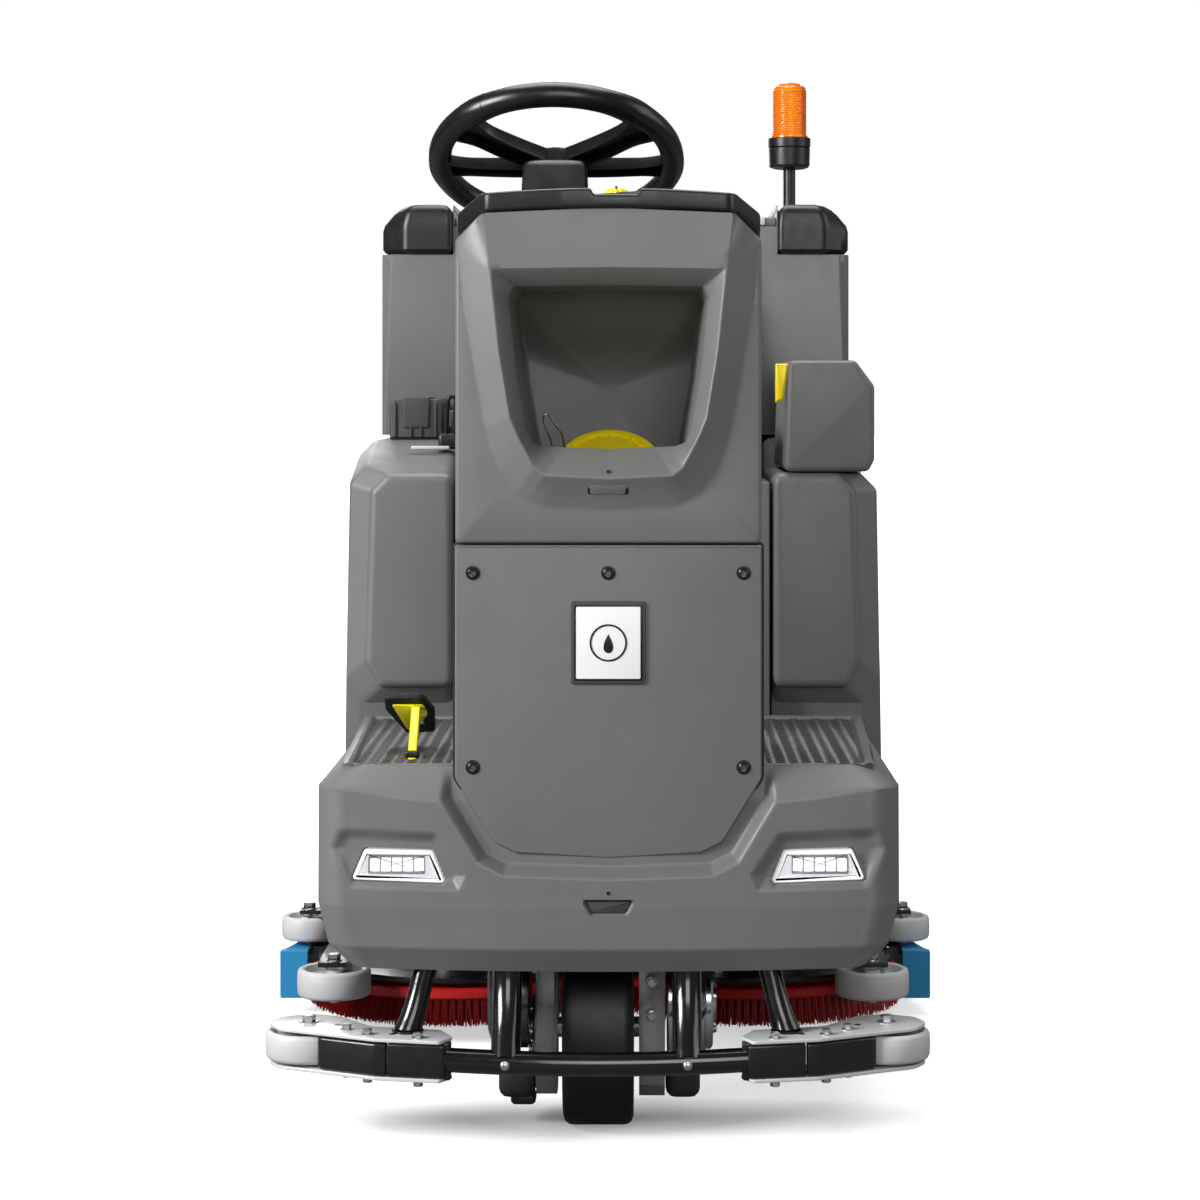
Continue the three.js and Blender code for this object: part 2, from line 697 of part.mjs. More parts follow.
// ---- steering fork, drive wheel and motor -------------------------------------------------------
function makeFork() {
  const { y, radius } = FRONT_WHEEL;
  const turntable = disc("z", [0, y], 296, 318 - GAP, 80);
  const kingpin = disc("z", [0, y], 310, 345, 20);
  const top = box(-85, 92, y - 62, y + 62, 276, 297);
  const plate = [[y - 50, 277], [y - 50, 90], [y - 20, 43], [y + 20, 43], [y + 50, 90], [y + 50, 277]];
  const leg = prism("x", plate, -85, -56);
  const gearbox = prism("x", [
    [y - 62, 277],
    [y - 70, 130],
    [y - 50, 62],
    [y, 36],
    [y + 50, 62],
    [y + 70, 130],
    [y + 62, 277],
  ], 55, 90);
  const axle = disc("x", [y, radius], -60, 60, AXLE, 16);
  return join(turntable, kingpin, top, leg, gearbox, axle);
}
add(group, "steer_fork", makeFork(), FRAME);
add(group, "drive_motor", disc("x", [FRONT_WHEEL.y, 165], 90 + GAP, 165, 55), STEEL);
const driveTyre = makeWheel(0, FRONT_WHEEL.y, FRONT_WHEEL.radius, FRONT_WHEEL.radius, FRONT_WHEEL.half, BORE, 12);
add(group, "front_wheel", driveTyre, RUBBER);
for (const [side, hand] of SIDES) {
  const { x, y, radius, half } = REAR_WHEEL;
  add(group, "rear_wheel_" + hand, makeWheel(side * x, y, radius, radius, half, BORE, 14), RUBBER);
}

// ---- brush deck, brushes, rollers and lips ------------------------------------------------------
// A roller about +Z with rounded rims and a bore for its bolt.
function makeRoller(side, { x, y, radius, bottom, top }, bore = 7) {
  const round = 8;
  const profile = [
    [bore, bottom],
    [radius - round, bottom],
    [radius, bottom + round],
    [radius, top - round],
    [radius - round, top],
    [bore, top],
    [bore, bottom],
  ];
  return turned(profile, [side * x, y]);
}

function handBox(side, x0, x1, y0, y1, z0, z1) {
  return side > 0 ? box(x0, x1, y0, y1, z0, z1) : box(-x1, -x0, y0, y1, z0, z1);
}

function rollerPin(side, { x, y, bottom, top }) {
  const at = [side * x, y];
  return join(
    disc("z", at, bottom - 5, top + 10, 6, 12),
    disc("z", at, bottom - 5, bottom - 1, 12, 12),
    disc("z", at, top + 3, top + 14, 11, 6),
  );
}

function makeDeck() {
  const pieces = [box(-236, 236, -150, 100, 94, 102)];
  for (const [side] of SIDES) {
    const at = [side * BRUSH.x, BRUSH.y];
    pieces.push(
      disc("z", at, 94, 102, 222, 32),
      disc("z", at, 101, 240, 60),
      handBox(side, 300, 475, 60, 262, 94, 102),
      handBox(side, 385, 431, -290, -132, 127, 134),
      handBox(side, 385, 431, -152, -132, 100, 134),
      rollerPin(side, DECK_ROLLER),
      handBox(side, 422, 432, 20, 80, 100, 157),
      handBox(side, 422, 495, 35, 65, 151, 157),
      rollerPin(side, SIDE_ROLLER),
    );
  }
  return join(...pieces);
}
add(group, "brush_deck", makeDeck(), FRAME);

for (const [side, hand] of SIDES) {
  const disk = turned([
    [0, 72],
    [BRUSH.radius - 110, 72],
    [BRUSH.radius - 100, BRUSH.bottom],
    [BRUSH.radius, BRUSH.bottom],
    [BRUSH.radius, BRUSH.top - 6],
    [BRUSH.radius - 6, BRUSH.top],
    [0, BRUSH.top],
  ], [side * BRUSH.x, BRUSH.y], 36);
  add(group, "brush_" + hand, disk, RED);
  add(group, "deck_roller_" + hand, makeRoller(side, DECK_ROLLER), ROLLER);
  add(group, "side_roller_" + hand, makeRoller(side, SIDE_ROLLER), ROLLER);
  const lip = [
    [LIP.inner, LIP.front],
    [LIP.outer, LIP.front],
    [510, 12],
    [499, 60],
    [495, LIP.rear],
    [LIP.inner, LIP.rear],
  ];
  const lipOutline = side > 0 ? lip : mirrored(lip);
  add(group, "side_lip_" + hand, prism("z", lipOutline, LIP.bottom, LIP.top), BLUE);
}

// ---- front bumper -------------------------------------------------------------------------------
const armPlan = [
  [205, -947],
  [290, -929],
  [371, -887],
  [335, -868],
  [290, -889],
  [205, -907],
];
const bracketPlan = [
  [190, -915],
  [205, -944],
  [290, -926],
  [371, -884],
  [420, -862],
  [438, -825],
  [425, -790],
  [385, -772],
  [350, -786],
  [300, -850],
  [205, -872],
];
const ARM = { bottom: 108, top: 152, plate: 5 };
for (const [side, hand] of SIDES) {
  const plan = (outline) => (side > 0 ? outline : mirrored(outline));
  const lowPlate = prism("z", plan(bracketPlan), ARM.bottom - ARM.plate - GAP, ARM.bottom - GAP);
  const topPlate = prism("z", plan(bracketPlan), ARM.top + GAP, ARM.top + GAP + ARM.plate);
  const strut = rod([[side * 249, -880, 154], [side * 224, -862, 240], [side * 198, -850, 325]], 13, 12, 4);
  const strutCut = box(-300, 300, -1000, -800, 318 - GAP, 400);
  const bolt = disc("z", [side * BUMPER_ROLLER.x, BUMPER_ROLLER.y], ARM.bottom - 14, ARM.top + 14, 6, 12);
  add(group, "bumper_arm_" + hand, prism("z", plan(armPlan), ARM.bottom, ARM.top), FRAME);
  const bracket = join(lowPlate, topPlate, cut(strut, strutCut), bolt);
  add(group, "bumper_bracket_" + hand, bracket, STEEL);
  add(group, "bumper_roller_" + hand, makeRoller(side, BUMPER_ROLLER), ROLLER);
}

function makeBumperTube() {
  const bend = [-1, -0.5, 0, 0.5, 1].map((t) => [t * 203, -939 + 13 * t * t, 130]);
  const posts = [-1, 1].map((side) => {
    const x = side * 118;
    return rod([[x, -935, 130], [x, -884, 215], [x, -872, 330]], 15, 12, 4);
  });
  return cut(join(rod(bend, 16, 12, 16), ...posts), box(-300, 300, -1000, -800, 318 - GAP, 400));
}
add(group, "bumper_tube", makeBumperTube(), FRAME);

// ---- squeegee and suction hose ------------------------------------------------------------------
const BOW = { radius: 981, centre: -121, reach: 0.54 };

// A strip of the squeegee's bow between two radii and two heights.
function bowStrip(inner, outer, low, high) {
  const count = 16;
  const arc = (radius) =>
    Array.from({ length: count + 1 }, (_, i) => {
      const angle = BOW.reach * ((2 * i) / count - 1);
      return [radius * Math.sin(angle), BOW.centre + radius * Math.cos(angle)];
    });
  return prism("z", [...arc(inner), ...arc(outer).reverse()], low, high);
}

function makeSqueegeeFrame() {
  const bar = bowStrip(BOW.radius - 45, BOW.radius + 8, 110, 135);
  const arms = [-1, 1].map((side) => {
    const outline = [
      [546, 222],
      [546, 250],
      [574, 250],
      [850, 160],
      [850, 134],
      [815, 134],
    ];
    return prism("x", outline, side * 56 - 7, side * 56 + 7);
  });
  const nozzle = disc("z", [0, 840], 134, 160, 27);
  const forks = [-1, 1].map((side) =>
    join(
      handBox(side, 262, 269, 815, 895, 75, 134),
      disc("x", [885, 87], side * 252 - 15, side * 252 + 15, 5, 12),
    ),
  );
  const bores = disc("x", [SQUEEGEE.pivotY, SQUEEGEE.pivotZ], -100, 100, 7, 12);
  return cut(join(bar, ...arms, nozzle, ...forks), bores);
}
add(group, "squeegee_frame", makeSqueegeeFrame(), FRAME);
const blade = join(
  bowStrip(BOW.radius - 44, BOW.radius - 38, SQUEEGEE.bottom, 109),
  bowStrip(BOW.radius + 1, BOW.radius + 7, SQUEEGEE.bottom, 109),
  bowStrip(BOW.radius - 44, BOW.radius + 7, 103, 110 - GAP),
);
const forkRoom = [-1, 1].map((side) => handBox(side, 261, 270, 800, 900, 70, 120));
add(group, "squeegee_blade", cut(blade, ...forkRoom), RUBBER);
for (const [side, hand] of SIDES) {
  add(group, "squeegee_wheel_" + hand, makeWheel(side * 250, 885, 87, 38, 10, 6, 4), ROLLER);
}
const hoseRoute = [
  [0, 842, 166],
  [0, 848, 195],
  [0, 882, 265],
  [0, 918, 340],
  [0, 926, 460],
  [0, 926, 720],
  [0, 926, 1000],
];
add(group, "suction_hose", rod(hoseRoute, 22, 12, 30), RUBBER);

export default group;
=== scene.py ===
"""Ride-on floor scrubber, laid out as a Blender add-on and run as a script."""

import json

import bpy
import numpy as np
from mathutils import Matrix, Vector

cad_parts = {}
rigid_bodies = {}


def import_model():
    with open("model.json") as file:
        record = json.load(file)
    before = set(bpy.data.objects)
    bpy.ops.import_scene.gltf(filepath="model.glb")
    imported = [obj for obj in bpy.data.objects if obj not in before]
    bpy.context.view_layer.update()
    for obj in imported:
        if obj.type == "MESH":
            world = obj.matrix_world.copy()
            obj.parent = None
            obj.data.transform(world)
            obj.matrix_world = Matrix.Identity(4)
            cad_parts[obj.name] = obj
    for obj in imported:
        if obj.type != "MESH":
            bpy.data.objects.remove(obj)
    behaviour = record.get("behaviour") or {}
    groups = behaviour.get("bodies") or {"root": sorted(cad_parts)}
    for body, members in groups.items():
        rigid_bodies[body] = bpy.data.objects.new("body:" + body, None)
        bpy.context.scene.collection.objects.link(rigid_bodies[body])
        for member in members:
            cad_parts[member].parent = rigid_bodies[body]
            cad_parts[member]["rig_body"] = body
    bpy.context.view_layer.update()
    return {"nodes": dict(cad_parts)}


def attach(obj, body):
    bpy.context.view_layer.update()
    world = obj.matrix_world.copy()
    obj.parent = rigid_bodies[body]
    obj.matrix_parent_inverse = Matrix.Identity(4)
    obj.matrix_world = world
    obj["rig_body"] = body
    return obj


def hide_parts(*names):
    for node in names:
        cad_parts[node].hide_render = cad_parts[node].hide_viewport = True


bl_info = {
    "name": "Ride-on floor scrubber",
    "version": (1, 0, 0),
    "blender": (4, 5, 0),
    "location": "3D View > Sidebar > Scrubber",
    "description": "Makes the moulded bodywork, running gear and studio of a ride-on floor scrubber",
    "category": "Mesh",
}

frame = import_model()
BODY_X = 15.0       # mm that the bodywork sits left of the chassis centre plane
FRONT = -905.0      # mm, the plane of the column's front
DASH_SLOPE = 0.38   # fall of the column's top towards the driver
SIDES = ((-1, "right"), (1, "left"))


# ---- arrays ---------------------------------------------------------------------------------

def points(*rows):
    """Rows of numbers as one array."""
    return np.array(rows, float)


def flip(outline):
    """The outline mirrored in its first coordinate, in the opposite order, so it keeps its turn."""
    out = np.array(outline, float)[::-1].copy()
    out[:, 0] *= -1
    return out


def both_sides(half):
    """A left half given from top to the middle line, closed by its mirror image."""
    half = np.array(half, float)
    other = flip(half)
    if abs(half[-1, 0]) < 1e-9:
        other = other[1:]
    return np.vstack([half, other])


def round_corners(outline, radius, steps=5):
    """Each corner becomes a quadratic curve from one tangent point to the other. A tangent point lies
    at radius * tan(half turn) along each edge, at most 45% of that edge."""
    p = np.array(outline, float)
    r = np.broadcast_to(np.array(radius, float), (len(p),))[:, None]
    before, after = np.roll(p, 1, 0) - p, np.roll(p, -1, 0) - p
    lb = np.linalg.norm(before, axis=1, keepdims=True)
    la = np.linalg.norm(after, axis=1, keepdims=True)
    cosine = np.clip((before * after).sum(1, keepdims=True) / (lb * la), -1, 1)
    reach = r / np.maximum(np.tan(np.arccos(cosine) / 2), 0.15)
    reach = np.minimum(reach, 0.45 * np.minimum(lb, la))
    a, b = p + before / lb * reach, p + after / la * reach
    t = np.linspace(0, 1, steps)[None, :, None]
    curve = (1 - t) ** 2 * a[:, None] + 2 * t * (1 - t) * p[:, None] + t ** 2 * b[:, None]
    return curve.reshape(-1, p.shape[1])


def resample(outline, count, closed=True):
    """The outline with count points at equal steps of its length."""
    p = np.array(outline, float)
    if closed:
        p = np.vstack([p, p[:1]])
    gone = np.concatenate([[0], np.cumsum(np.linalg.norm(np.diff(p, axis=0), axis=1))])
    at = np.linspace(0, gone[-1], count + 1)[:-1] if closed else np.linspace(0, gone[-1], count)
    return np.stack([np.interp(at, gone, p[:, k]) for k in range(p.shape[1])], 1)


def inset(outline, by):
    """The closed flat outline moved in along its corner bisectors by a distance (out when negative)."""
    p = np.array(outline, float)
    d = np.roll(p, -1, 0) - p
    d /= np.maximum(np.linalg.norm(d, axis=1, keepdims=True), 1e-9)
    n = np.stack([-d[:, 1], d[:, 0]], 1)
    area = 0.5 * np.sum(p[:, 0] * np.roll(p[:, 1], -1) - np.roll(p[:, 0], -1) * p[:, 1])
    n *= np.sign(area)
    m = n + np.roll(n, 1, 0)
    length = np.maximum((m ** 2).sum(1, keepdims=True), 0.6)
    return p + by * 2 * m / length


def by_rays(outline, centre, angles):
    """Where rays from a centre at given angles meet a closed star-shaped outline."""
    p = np.array(outline, float)
    q = np.roll(p, -1, 0)
    c = np.array(centre, float)
    d = np.stack([np.cos(angles), np.sin(angles)], 1)[:, None]
    e, w = (q - p)[None], (p - c)[None]
    cross = d[..., 0] * e[..., 1] - d[..., 1] * e[..., 0]
    cross = np.where(np.abs(cross) < 1e-9, 1e-9, cross)
    t = (w[..., 0] * e[..., 1] - w[..., 1] * e[..., 0]) / cross
    s = (w[..., 0] * d[..., 1] - w[..., 1] * d[..., 0]) / cross
    t = np.where((s >= -1e-6) & (s <= 1 + 1e-6) & (t > 0), t, np.inf).min(1)
    return c + t[:, None] * d[:, 0]


def smooth_step(x, low, high):
    """0 below low, 1 above high and an S curve between."""
    t = np.clip((x - low) / (high - low), 0, 1)
    return t * t * (3 - 2 * t)


def edge_distance(x, z, outline):
    """The signed distance of points from a closed outline: below 0 inside it."""
    p = np.array(outline, float)
    q = np.roll(p, -1, 0)
    best = np.full(x.shape, 1e9)
    inside = np.zeros(x.shape, bool)
    for (ax, az), (bx, bz) in zip(p, q):
        ex, ez = bx - ax, bz - az
        t = np.clip(((x - ax) * ex + (z - az) * ez) / (ex * ex + ez * ez + 1e-12), 0, 1)
        best = np.minimum(best, np.hypot(x - ax - t * ex, z - az - t * ez))
        crossing = ((az > z) != (bz > z)) & (x < ex * (z - az) / (bz - az + 1e-12) + ax)
        inside ^= crossing
    return np.where(inside, -best, best)


# ---- meshes ---------------------------------------------------------------------------------

def mesh_object(name, vertices, faces, materials, body="root", slot=None, smooth=40, face_material=None):
    """A mesh from millimetre vertices and a list or array of faces, which rides on a body."""
    mesh = bpy.data.meshes.new(name)
    mesh.from_pydata((np.asarray(vertices, float) * 0.001).tolist(), [],
                     [list(map(int, f)) for f in faces])
    mesh.validate()
    obj = bpy.data.objects.new(name, mesh)
    bpy.context.scene.collection.objects.link(obj)
    for m in materials if isinstance(materials, (list, tuple)) else [materials]:
        mesh.materials.append(m)
    if face_material is not None and len(face_material) == len(mesh.polygons):
        mesh.polygons.foreach_set("material_index", np.asarray(face_material, np.int32))
    mesh.update()
    if smooth:
        mesh.set_sharp_from_angle(angle=np.radians(smooth)) if hasattr(mesh,
                "set_sharp_from_angle") else None
        mesh.polygons.foreach_set("use_smooth", np.ones(len(mesh.polygons), bool))
    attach(obj, body)
    return obj


class Parts:
    """Collects surfaces that make one piece: their vertices and faces, one after the other."""

    def __init__(self):
        self.v, self.f, self.m, self.count = [], [], [], 0

    def add(self, v, f, material=0):
        v = np.asarray(v, float)
        self.v.append(v)
        self.f.extend([[i + self.count for i in face] for face in f])
        self.m.extend([material] * len(f))
        self.count += len(v)
        return self

    def make(self, name, materials, body="root", slot=None, smooth=40):
        return mesh_object(name, np.vstack(self.v), self.f, materials, body, slot, smooth, self.m)


def grid_faces(rows, columns, close_rows=False, close_columns=False):
    """Quads between neighbouring rows and columns of a grid."""
    i = np.arange(rows if close_rows else rows - 1)[:, None]
    j = np.arange(columns if close_columns else columns - 1)[None, :]
    a = i * columns + j
    b = i * columns + (j + 1) % columns
    c = ((i + 1) % rows) * columns + (j + 1) % columns
    d = ((i + 1) % rows) * columns + j
    return np.stack([a, b, c, d], -1).reshape(-1, 4).tolist()


def volume_of(v, faces):
    """Six times the signed volume under the faces, which tells whether they point outwards."""
    total = 0.0
    v = np.asarray(v, float) - np.mean(v, 0)
    for size in {len(f) for f in faces}:
        f = np.array([f for f in faces if len(f) == size])
        for k in range(1, size - 1):
            a, b, c = v[f[:, 0]], v[f[:, k]], v[f[:, k + 1]]
            total += np.einsum("ij,ij->", a, np.cross(b, c))
    return total


def outward(v, faces):
    """The faces of a closed surface turned to point outwards."""
    return faces if volume_of(v, faces) > 0 else [f[::-1] for f in faces]


def skin(rings, ends="flat"):
    """Rings of equal count joined side by side. Flat ends are single faces; "loop" joins last to first."""
    rings = np.asarray(rings, float)
    rows, count = rings.shape[:2]
    v = rings.reshape(-1, 3)
    faces = grid_faces(rows, count, close_rows=ends == "loop", close_columns=True)
    if ends == "flat":
        faces.append(list(range(count))[::-1])
        faces.append(list(range((rows - 1) * count, rows * count)))
    return v, outward(v, faces)


AXES = {"x": (0, 1, 2), "y": (1, 0, 2), "z": (2, 0, 1)}


def place(outline, axis, at):
    """A flat outline as points in space at a station of an axis; (y, z), (x, z) or (x, y) are its plane."""
    o = np.asarray(outline, float)
    at = np.broadcast_to(np.asarray(at, float), (len(o),))
    out = np.zeros((len(o), 3))
    k, a, b = AXES[axis]
    out[:, k], out[:, a], out[:, b] = at, o[:, 0], o[:, 1]
    return out


def slab(outline, axis, low, high, edge=2.0, steps=3):
    """A plate: the outline carried from low to high along an axis, its rims rounded by quarter circles."""
    edge = min(edge, abs(high - low) * 0.49)
    t = np.linspace(0, np.pi / 2, steps + 1)
    rings = []
    for s in t:
        rings.append(place(inset(outline, edge * (1 - np.sin(s))), axis, low + edge * (1 - np.cos(s))))
    for s in t[::-1]:
        rings.append(place(inset(outline, edge * (1 - np.sin(s))), axis, high - edge * (1 - np.cos(s))))
    return skin(rings)


def rect(x0, x1, y0, y1, radius=0.0, steps=4):
    """A rectangle's outline with rounded corners."""
    o = points((x0, y0), (x1, y0), (x1, y1), (x0, y1))
    return round_corners(o, radius, steps) if radius else o


def block(x0, x1, y0, y1, z0, z1, edge=2.0):
    """A box with rounded rims and corners."""
    r = min(edge * 1.4, (x1 - x0) * 0.4, (y1 - y0) * 0.4)
    return slab(rect(x0, x1, y0, y1, r), "z", z0, z1, edge)


def revolve(profile, centre, axis="z", sides=48, closed=False):
    """Radius and station pairs turned about an axis; ends at radius 0 are closed, others get flat ends."""
    p = np.asarray(profile, float)
    a = np.linspace(0, 2 * np.pi, sides, endpoint=False)
    rings = np.zeros((len(p), sides, 3))
    k, i, j = AXES[axis]
    rings[..., k] = p[:, 1:2] + centre[k]
    rings[..., i] = np.maximum(p[:, :1], 0.02) * np.cos(a) + centre[i]
    rings[..., j] = np.maximum(p[:, :1], 0.02) * np.sin(a) + centre[j]
    return skin(rings, "loop" if closed else "flat")


def tube(path, radius, sides=16, up=(0, 0, 1)):
    """A circle carried along a path, with a radius that may change, kept square to it."""
    p = np.asarray(path, float)
    r = np.broadcast_to(np.asarray(radius, float), (len(p),))
    t = np.gradient(p, axis=0)
    t /= np.linalg.norm(t, axis=1, keepdims=True)
    n = np.cross(t, np.array(up, float))
    n /= np.maximum(np.linalg.norm(n, axis=1, keepdims=True), 1e-9)
    b = np.cross(t, n)
    a = np.linspace(0, 2 * np.pi, sides, endpoint=False)
    rings = p[:, None] + r[:, None, None] * (
        np.cos(a)[None, :, None] * n[:, None] + np.sin(a)[None, :, None] * b[:, None])
    return skin(rings)


def curve_through(corners, count=40):
    """A smooth path through given points, each stretch a cubic with Catmull-Rom slopes."""
    p = np.asarray(corners, float)
    ends = np.vstack([2 * p[0] - p[1], p, 2 * p[-1] - p[-2]])
    u = np.linspace(0, len(p) - 1, count)
    k = np.minimum(u.astype(int), len(p) - 2)
    t = (u - k)[:, None]
    a, b, c, d = ends[k], ends[k + 1], ends[k + 2], ends[k + 3]
    square, cube = 2 * a - 5 * b + 4 * c - d, 3 * b - a - 3 * c + d
    return 0.5 * (2 * b + (c - a) * t + square * t ** 2 + cube * t ** 3)


def shifted(made, by):
    """A surface moved by a vector."""
    return np.asarray(made[0], float) + np.asarray(by, float), made[1]


def tilted(made, angle, centre, axis="x"):
    """A surface turned by an angle about an axis through a centre."""
    v = np.asarray(made[0], float) - centre
    c, s = np.cos(angle), np.sin(angle)
    i, j = {"x": (1, 2), "y": (2, 0), "z": (0, 1)}[axis]
    out = v.copy()
    out[:, i], out[:, j] = c * v[:, i] - s * v[:, j], s * v[:, i] + c * v[:, j]
    return out + centre, made[1]


def mirrored(made):
    """A surface mirrored in the middle plane, its faces turned back outwards."""
    return np.asarray(made[0], float) * (-1, 1, 1), [f[::-1] for f in made[1]]


def for_side(made, side):
    """The surface as it stands for the left hand, or its mirror image for the right."""
    return made if side > 0 else mirrored(made)


def hex_bolt(centre, axis="z", across=13.0, high=6.0, washer=9.5, shank=0.0, up=1):
    """A washer with a six-sided head: two short turned profiles on one axis."""
    r = across / 2 / np.cos(np.pi / 6)
    w = [(0, 0), (washer, 0), (washer, 1.4), (washer - 0.7, 2.0), (0, 2.0)]
    h = [(0, 1.8), (r * 0.97, 1.8), (r, 2.4), (r, 1.6 + high), (r * 0.86, 2.2 + high), (0, 2.2 + high)]
    s = [(0, -shank), (across * 0.3, -shank), (across * 0.3, 0.5), (0, 0.5)]
    parts = Parts()
    for profile, sides in ((w, 24), (h, 6)) + (((s, 12),) if shank else ()):
        v, f = revolve([(a, b * up) for a, b in profile], centre, axis, sides)
        parts.add(v, outward(v, f))
    return np.vstack(parts.v), parts.f


def cad_copy(node, name, materials, edge=2.0, segments=2, angle=35, shade=30):
    """A merged copy of a CAD node with its flats rejoined and its rims rounded, which replaces it."""
    import bmesh
    source = frame["nodes"][node]
    mesh = source.data.copy()
    mesh.name = name
    bm = bmesh.new()
    bm.from_mesh(mesh)
    bmesh.ops.remove_doubles(bm, verts=bm.verts, dist=2e-5)
    bmesh.ops.dissolve_limit(bm, angle_limit=np.radians(1.0), verts=bm.verts, edges=bm.edges)
    bm.to_mesh(mesh)
    bm.free()
    mesh.materials.clear()
    for m in materials if isinstance(materials, (list, tuple)) else [materials]:
        mesh.materials.append(m)
    obj = bpy.data.objects.new(name, mesh)
    bpy.context.scene.collection.objects.link(obj)
    mesh.polygons.foreach_set("use_smooth", np.ones(len(mesh.polygons), bool))
    mesh.polygons.foreach_set("material_index", np.zeros(len(mesh.polygons), np.int32))
    if edge:
        bevel = obj.modifiers.new("rims", "BEVEL")
        bevel.width = edge * 0.001
        bevel.segments = segments
        bevel.limit_method = "ANGLE"
        bevel.angle_limit = np.radians(angle)
        bevel.use_clamp_overlap = True
        bevel.harden_normals = False
        view = bpy.context.view_layer
        view.objects.active = obj
        obj.select_set(True)
        bpy.ops.object.modifier_apply(modifier=bevel.name)
        obj.select_set(False)
    obj.data.set_sharp_from_angle(angle=np.radians(shade))
    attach(obj, source["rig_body"])
    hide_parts(node)
    return obj


# ---- materials ------------------------------------------------------------------------------

def srgb(r, g, b):
    """A display colour of 0 to 255 as the linear one that a shader takes."""
    c = np.array([r, g, b], float) / 255
    lin = np.where(c <= 0.04045, c / 12.92, ((c + 0.055) / 1.055) ** 2.4)
    return (*lin.tolist(), 1.0)


class ScrubberSettings(bpy.types.PropertyGroup):
    """Sizes and colours that the groups of pieces share."""
    rim_radius: bpy.props.FloatProperty(
        name="Steering rim radius", description="Middle of the steering wheel's rim from its hub",
        default=0.166, min=0.12, max=0.2, unit="LENGTH", subtype="DISTANCE")
    rim_thickness: bpy.props.FloatProperty(
        name="Rim thickness", description="Radius of the steering wheel rim's section",
        default=0.017, min=0.008, max=0.02, unit="LENGTH", subtype="DISTANCE")
    drum_radius: bpy.props.FloatProperty(
        name="Drive motor radius", description="Outside radius of the drive motor's drum",
        default=0.078, min=0.05, max=0.08, unit="LENGTH", subtype="DISTANCE")
    bumper_bow: bpy.props.FloatProperty(
        name="Bumper tube radius", description="Outside radius of the bowed bumper tube",
        default=0.0158, min=0.008, max=0.016, unit="LENGTH", subtype="DISTANCE")
    bristle_length: bpy.props.FloatProperty(
        name="Bristle length", description="Height of the bristle tufts below the brush plate",
        default=0.0415, min=0.01, max=0.042, unit="LENGTH", subtype="DISTANCE")
    bristle_colour: bpy.props.FloatVectorProperty(
        name="Bristle colour", description="Colour of the brushes' tufts and plate",
        default=(0.52, 0.012, 0.014, 1.0), size=4, min=0.0, max=1.0, subtype="COLOR")
    # The pale default plate colour is a painted reflection: it stands for the studio's white mirrored in
    # the plates.
    plate_colour: bpy.props.FloatVectorProperty(
        name="Bumper plate colour", description="Colour of the zinc-plated bumper plates",
        default=(0.617, 0.617, 0.631, 1.0), size=4, min=0.0, max=1.0, subtype="COLOR")
    body_colour: bpy.props.FloatVectorProperty(
        name="Body colour", description="Colour of the grey body mouldings",
        default=srgb(108, 108, 107), size=4, min=0.0, max=1.0, subtype="COLOR")
    accent_colour: bpy.props.FloatVectorProperty(
        name="Control colour", description="Colour of the yellow controls, lid, catch and knobs",
        default=srgb(255, 229, 0), size=4, min=0.0, max=1.0, subtype="COLOR")
    lip_colour: bpy.props.FloatVectorProperty(
        name="Side lip colour", description="Colour of the rubber side lips",
        default=srgb(36, 137, 191), size=4, min=0.0, max=1.0, subtype="COLOR")
    roller_colour: bpy.props.FloatVectorProperty(
        name="Roller colour", description="Colour of the bumper rollers and small wheels",
        default=srgb(196, 196, 196), size=4, min=0.0, max=1.0, subtype="COLOR")


def settings():
    """The sizes and colours of the current scene."""
    return bpy.context.scene.scrubber


MADE = {}


class Nodes:
    """Short ways to add and link the nodes of one material."""

    def __init__(self, name):
        self.material = bpy.data.materials.new(name)
        self.material.use_nodes = True
        self.tree = self.material.node_tree
        self.shader = self.tree.nodes["Principled BSDF"]
        self.coords = self.tree.nodes.new("ShaderNodeTexCoord").outputs["Object"]

    def new(self, kind, **inputs):
        node = self.tree.nodes.new("ShaderNode" + kind)
        for key, value in inputs.items():
            if key.startswith("_"):
                setattr(node, key[1:], value)
            else:
                socket = node.inputs[int(key[1:])] if key[0] == "i" and key[1:].isdigit() else node.inputs[
                    key.replace("_", " ")]
                if isinstance(value, bpy.types.NodeSocket):
                    self.tree.links.new(value, socket)
                else:
                    socket.default_value = value
        return node

    def noise(self, scale, detail=3.0, rough=0.55, where=None):
        return self.new("TexNoise", Vector=where or self.coords, Scale=scale, Detail=detail,
                        Roughness=rough).outputs["Fac"]

    def spread(self, fac, low, high, from_low=0.3, from_high=0.7):
        node = self.new("MapRange", Value=fac)
        node.inputs["From Min"].default_value = from_low
        node.inputs["From Max"].default_value = from_high
        node.inputs["To Min"].default_value = low
        node.inputs["To Max"].default_value = high
        return node.outputs["Result"]

    def mix(self, fac, a, b, blend="MIX"):
        node = self.new("Mix", _data_type="RGBA", _blend_type=blend)
        for index, value in ((0, fac), (6, a), (7, b)):
            if isinstance(value, bpy.types.NodeSocket):
                self.tree.links.new(value, node.inputs[index])
            else:
                node.inputs[index].default_value = value
        return node.outputs[2]

    def bump(self, height, distance, strength=1.0, after=None):
        node = self.new("Bump", Height=height, Distance=distance, Strength=strength)
        if after is not None:
            self.tree.links.new(after, node.inputs["Normal"])
        return node.outputs["Normal"]

    def into(self, key, value):
        if isinstance(value, bpy.types.NodeSocket):
            self.tree.links.new(value, self.shader.inputs[key])
        else:
            self.shader.inputs[key].default_value = value


def shade(colour, by):
    """A colour made lighter or darker by a factor."""
    return tuple(min(c * by, 1.0) for c in colour[:3]) + (1.0,)


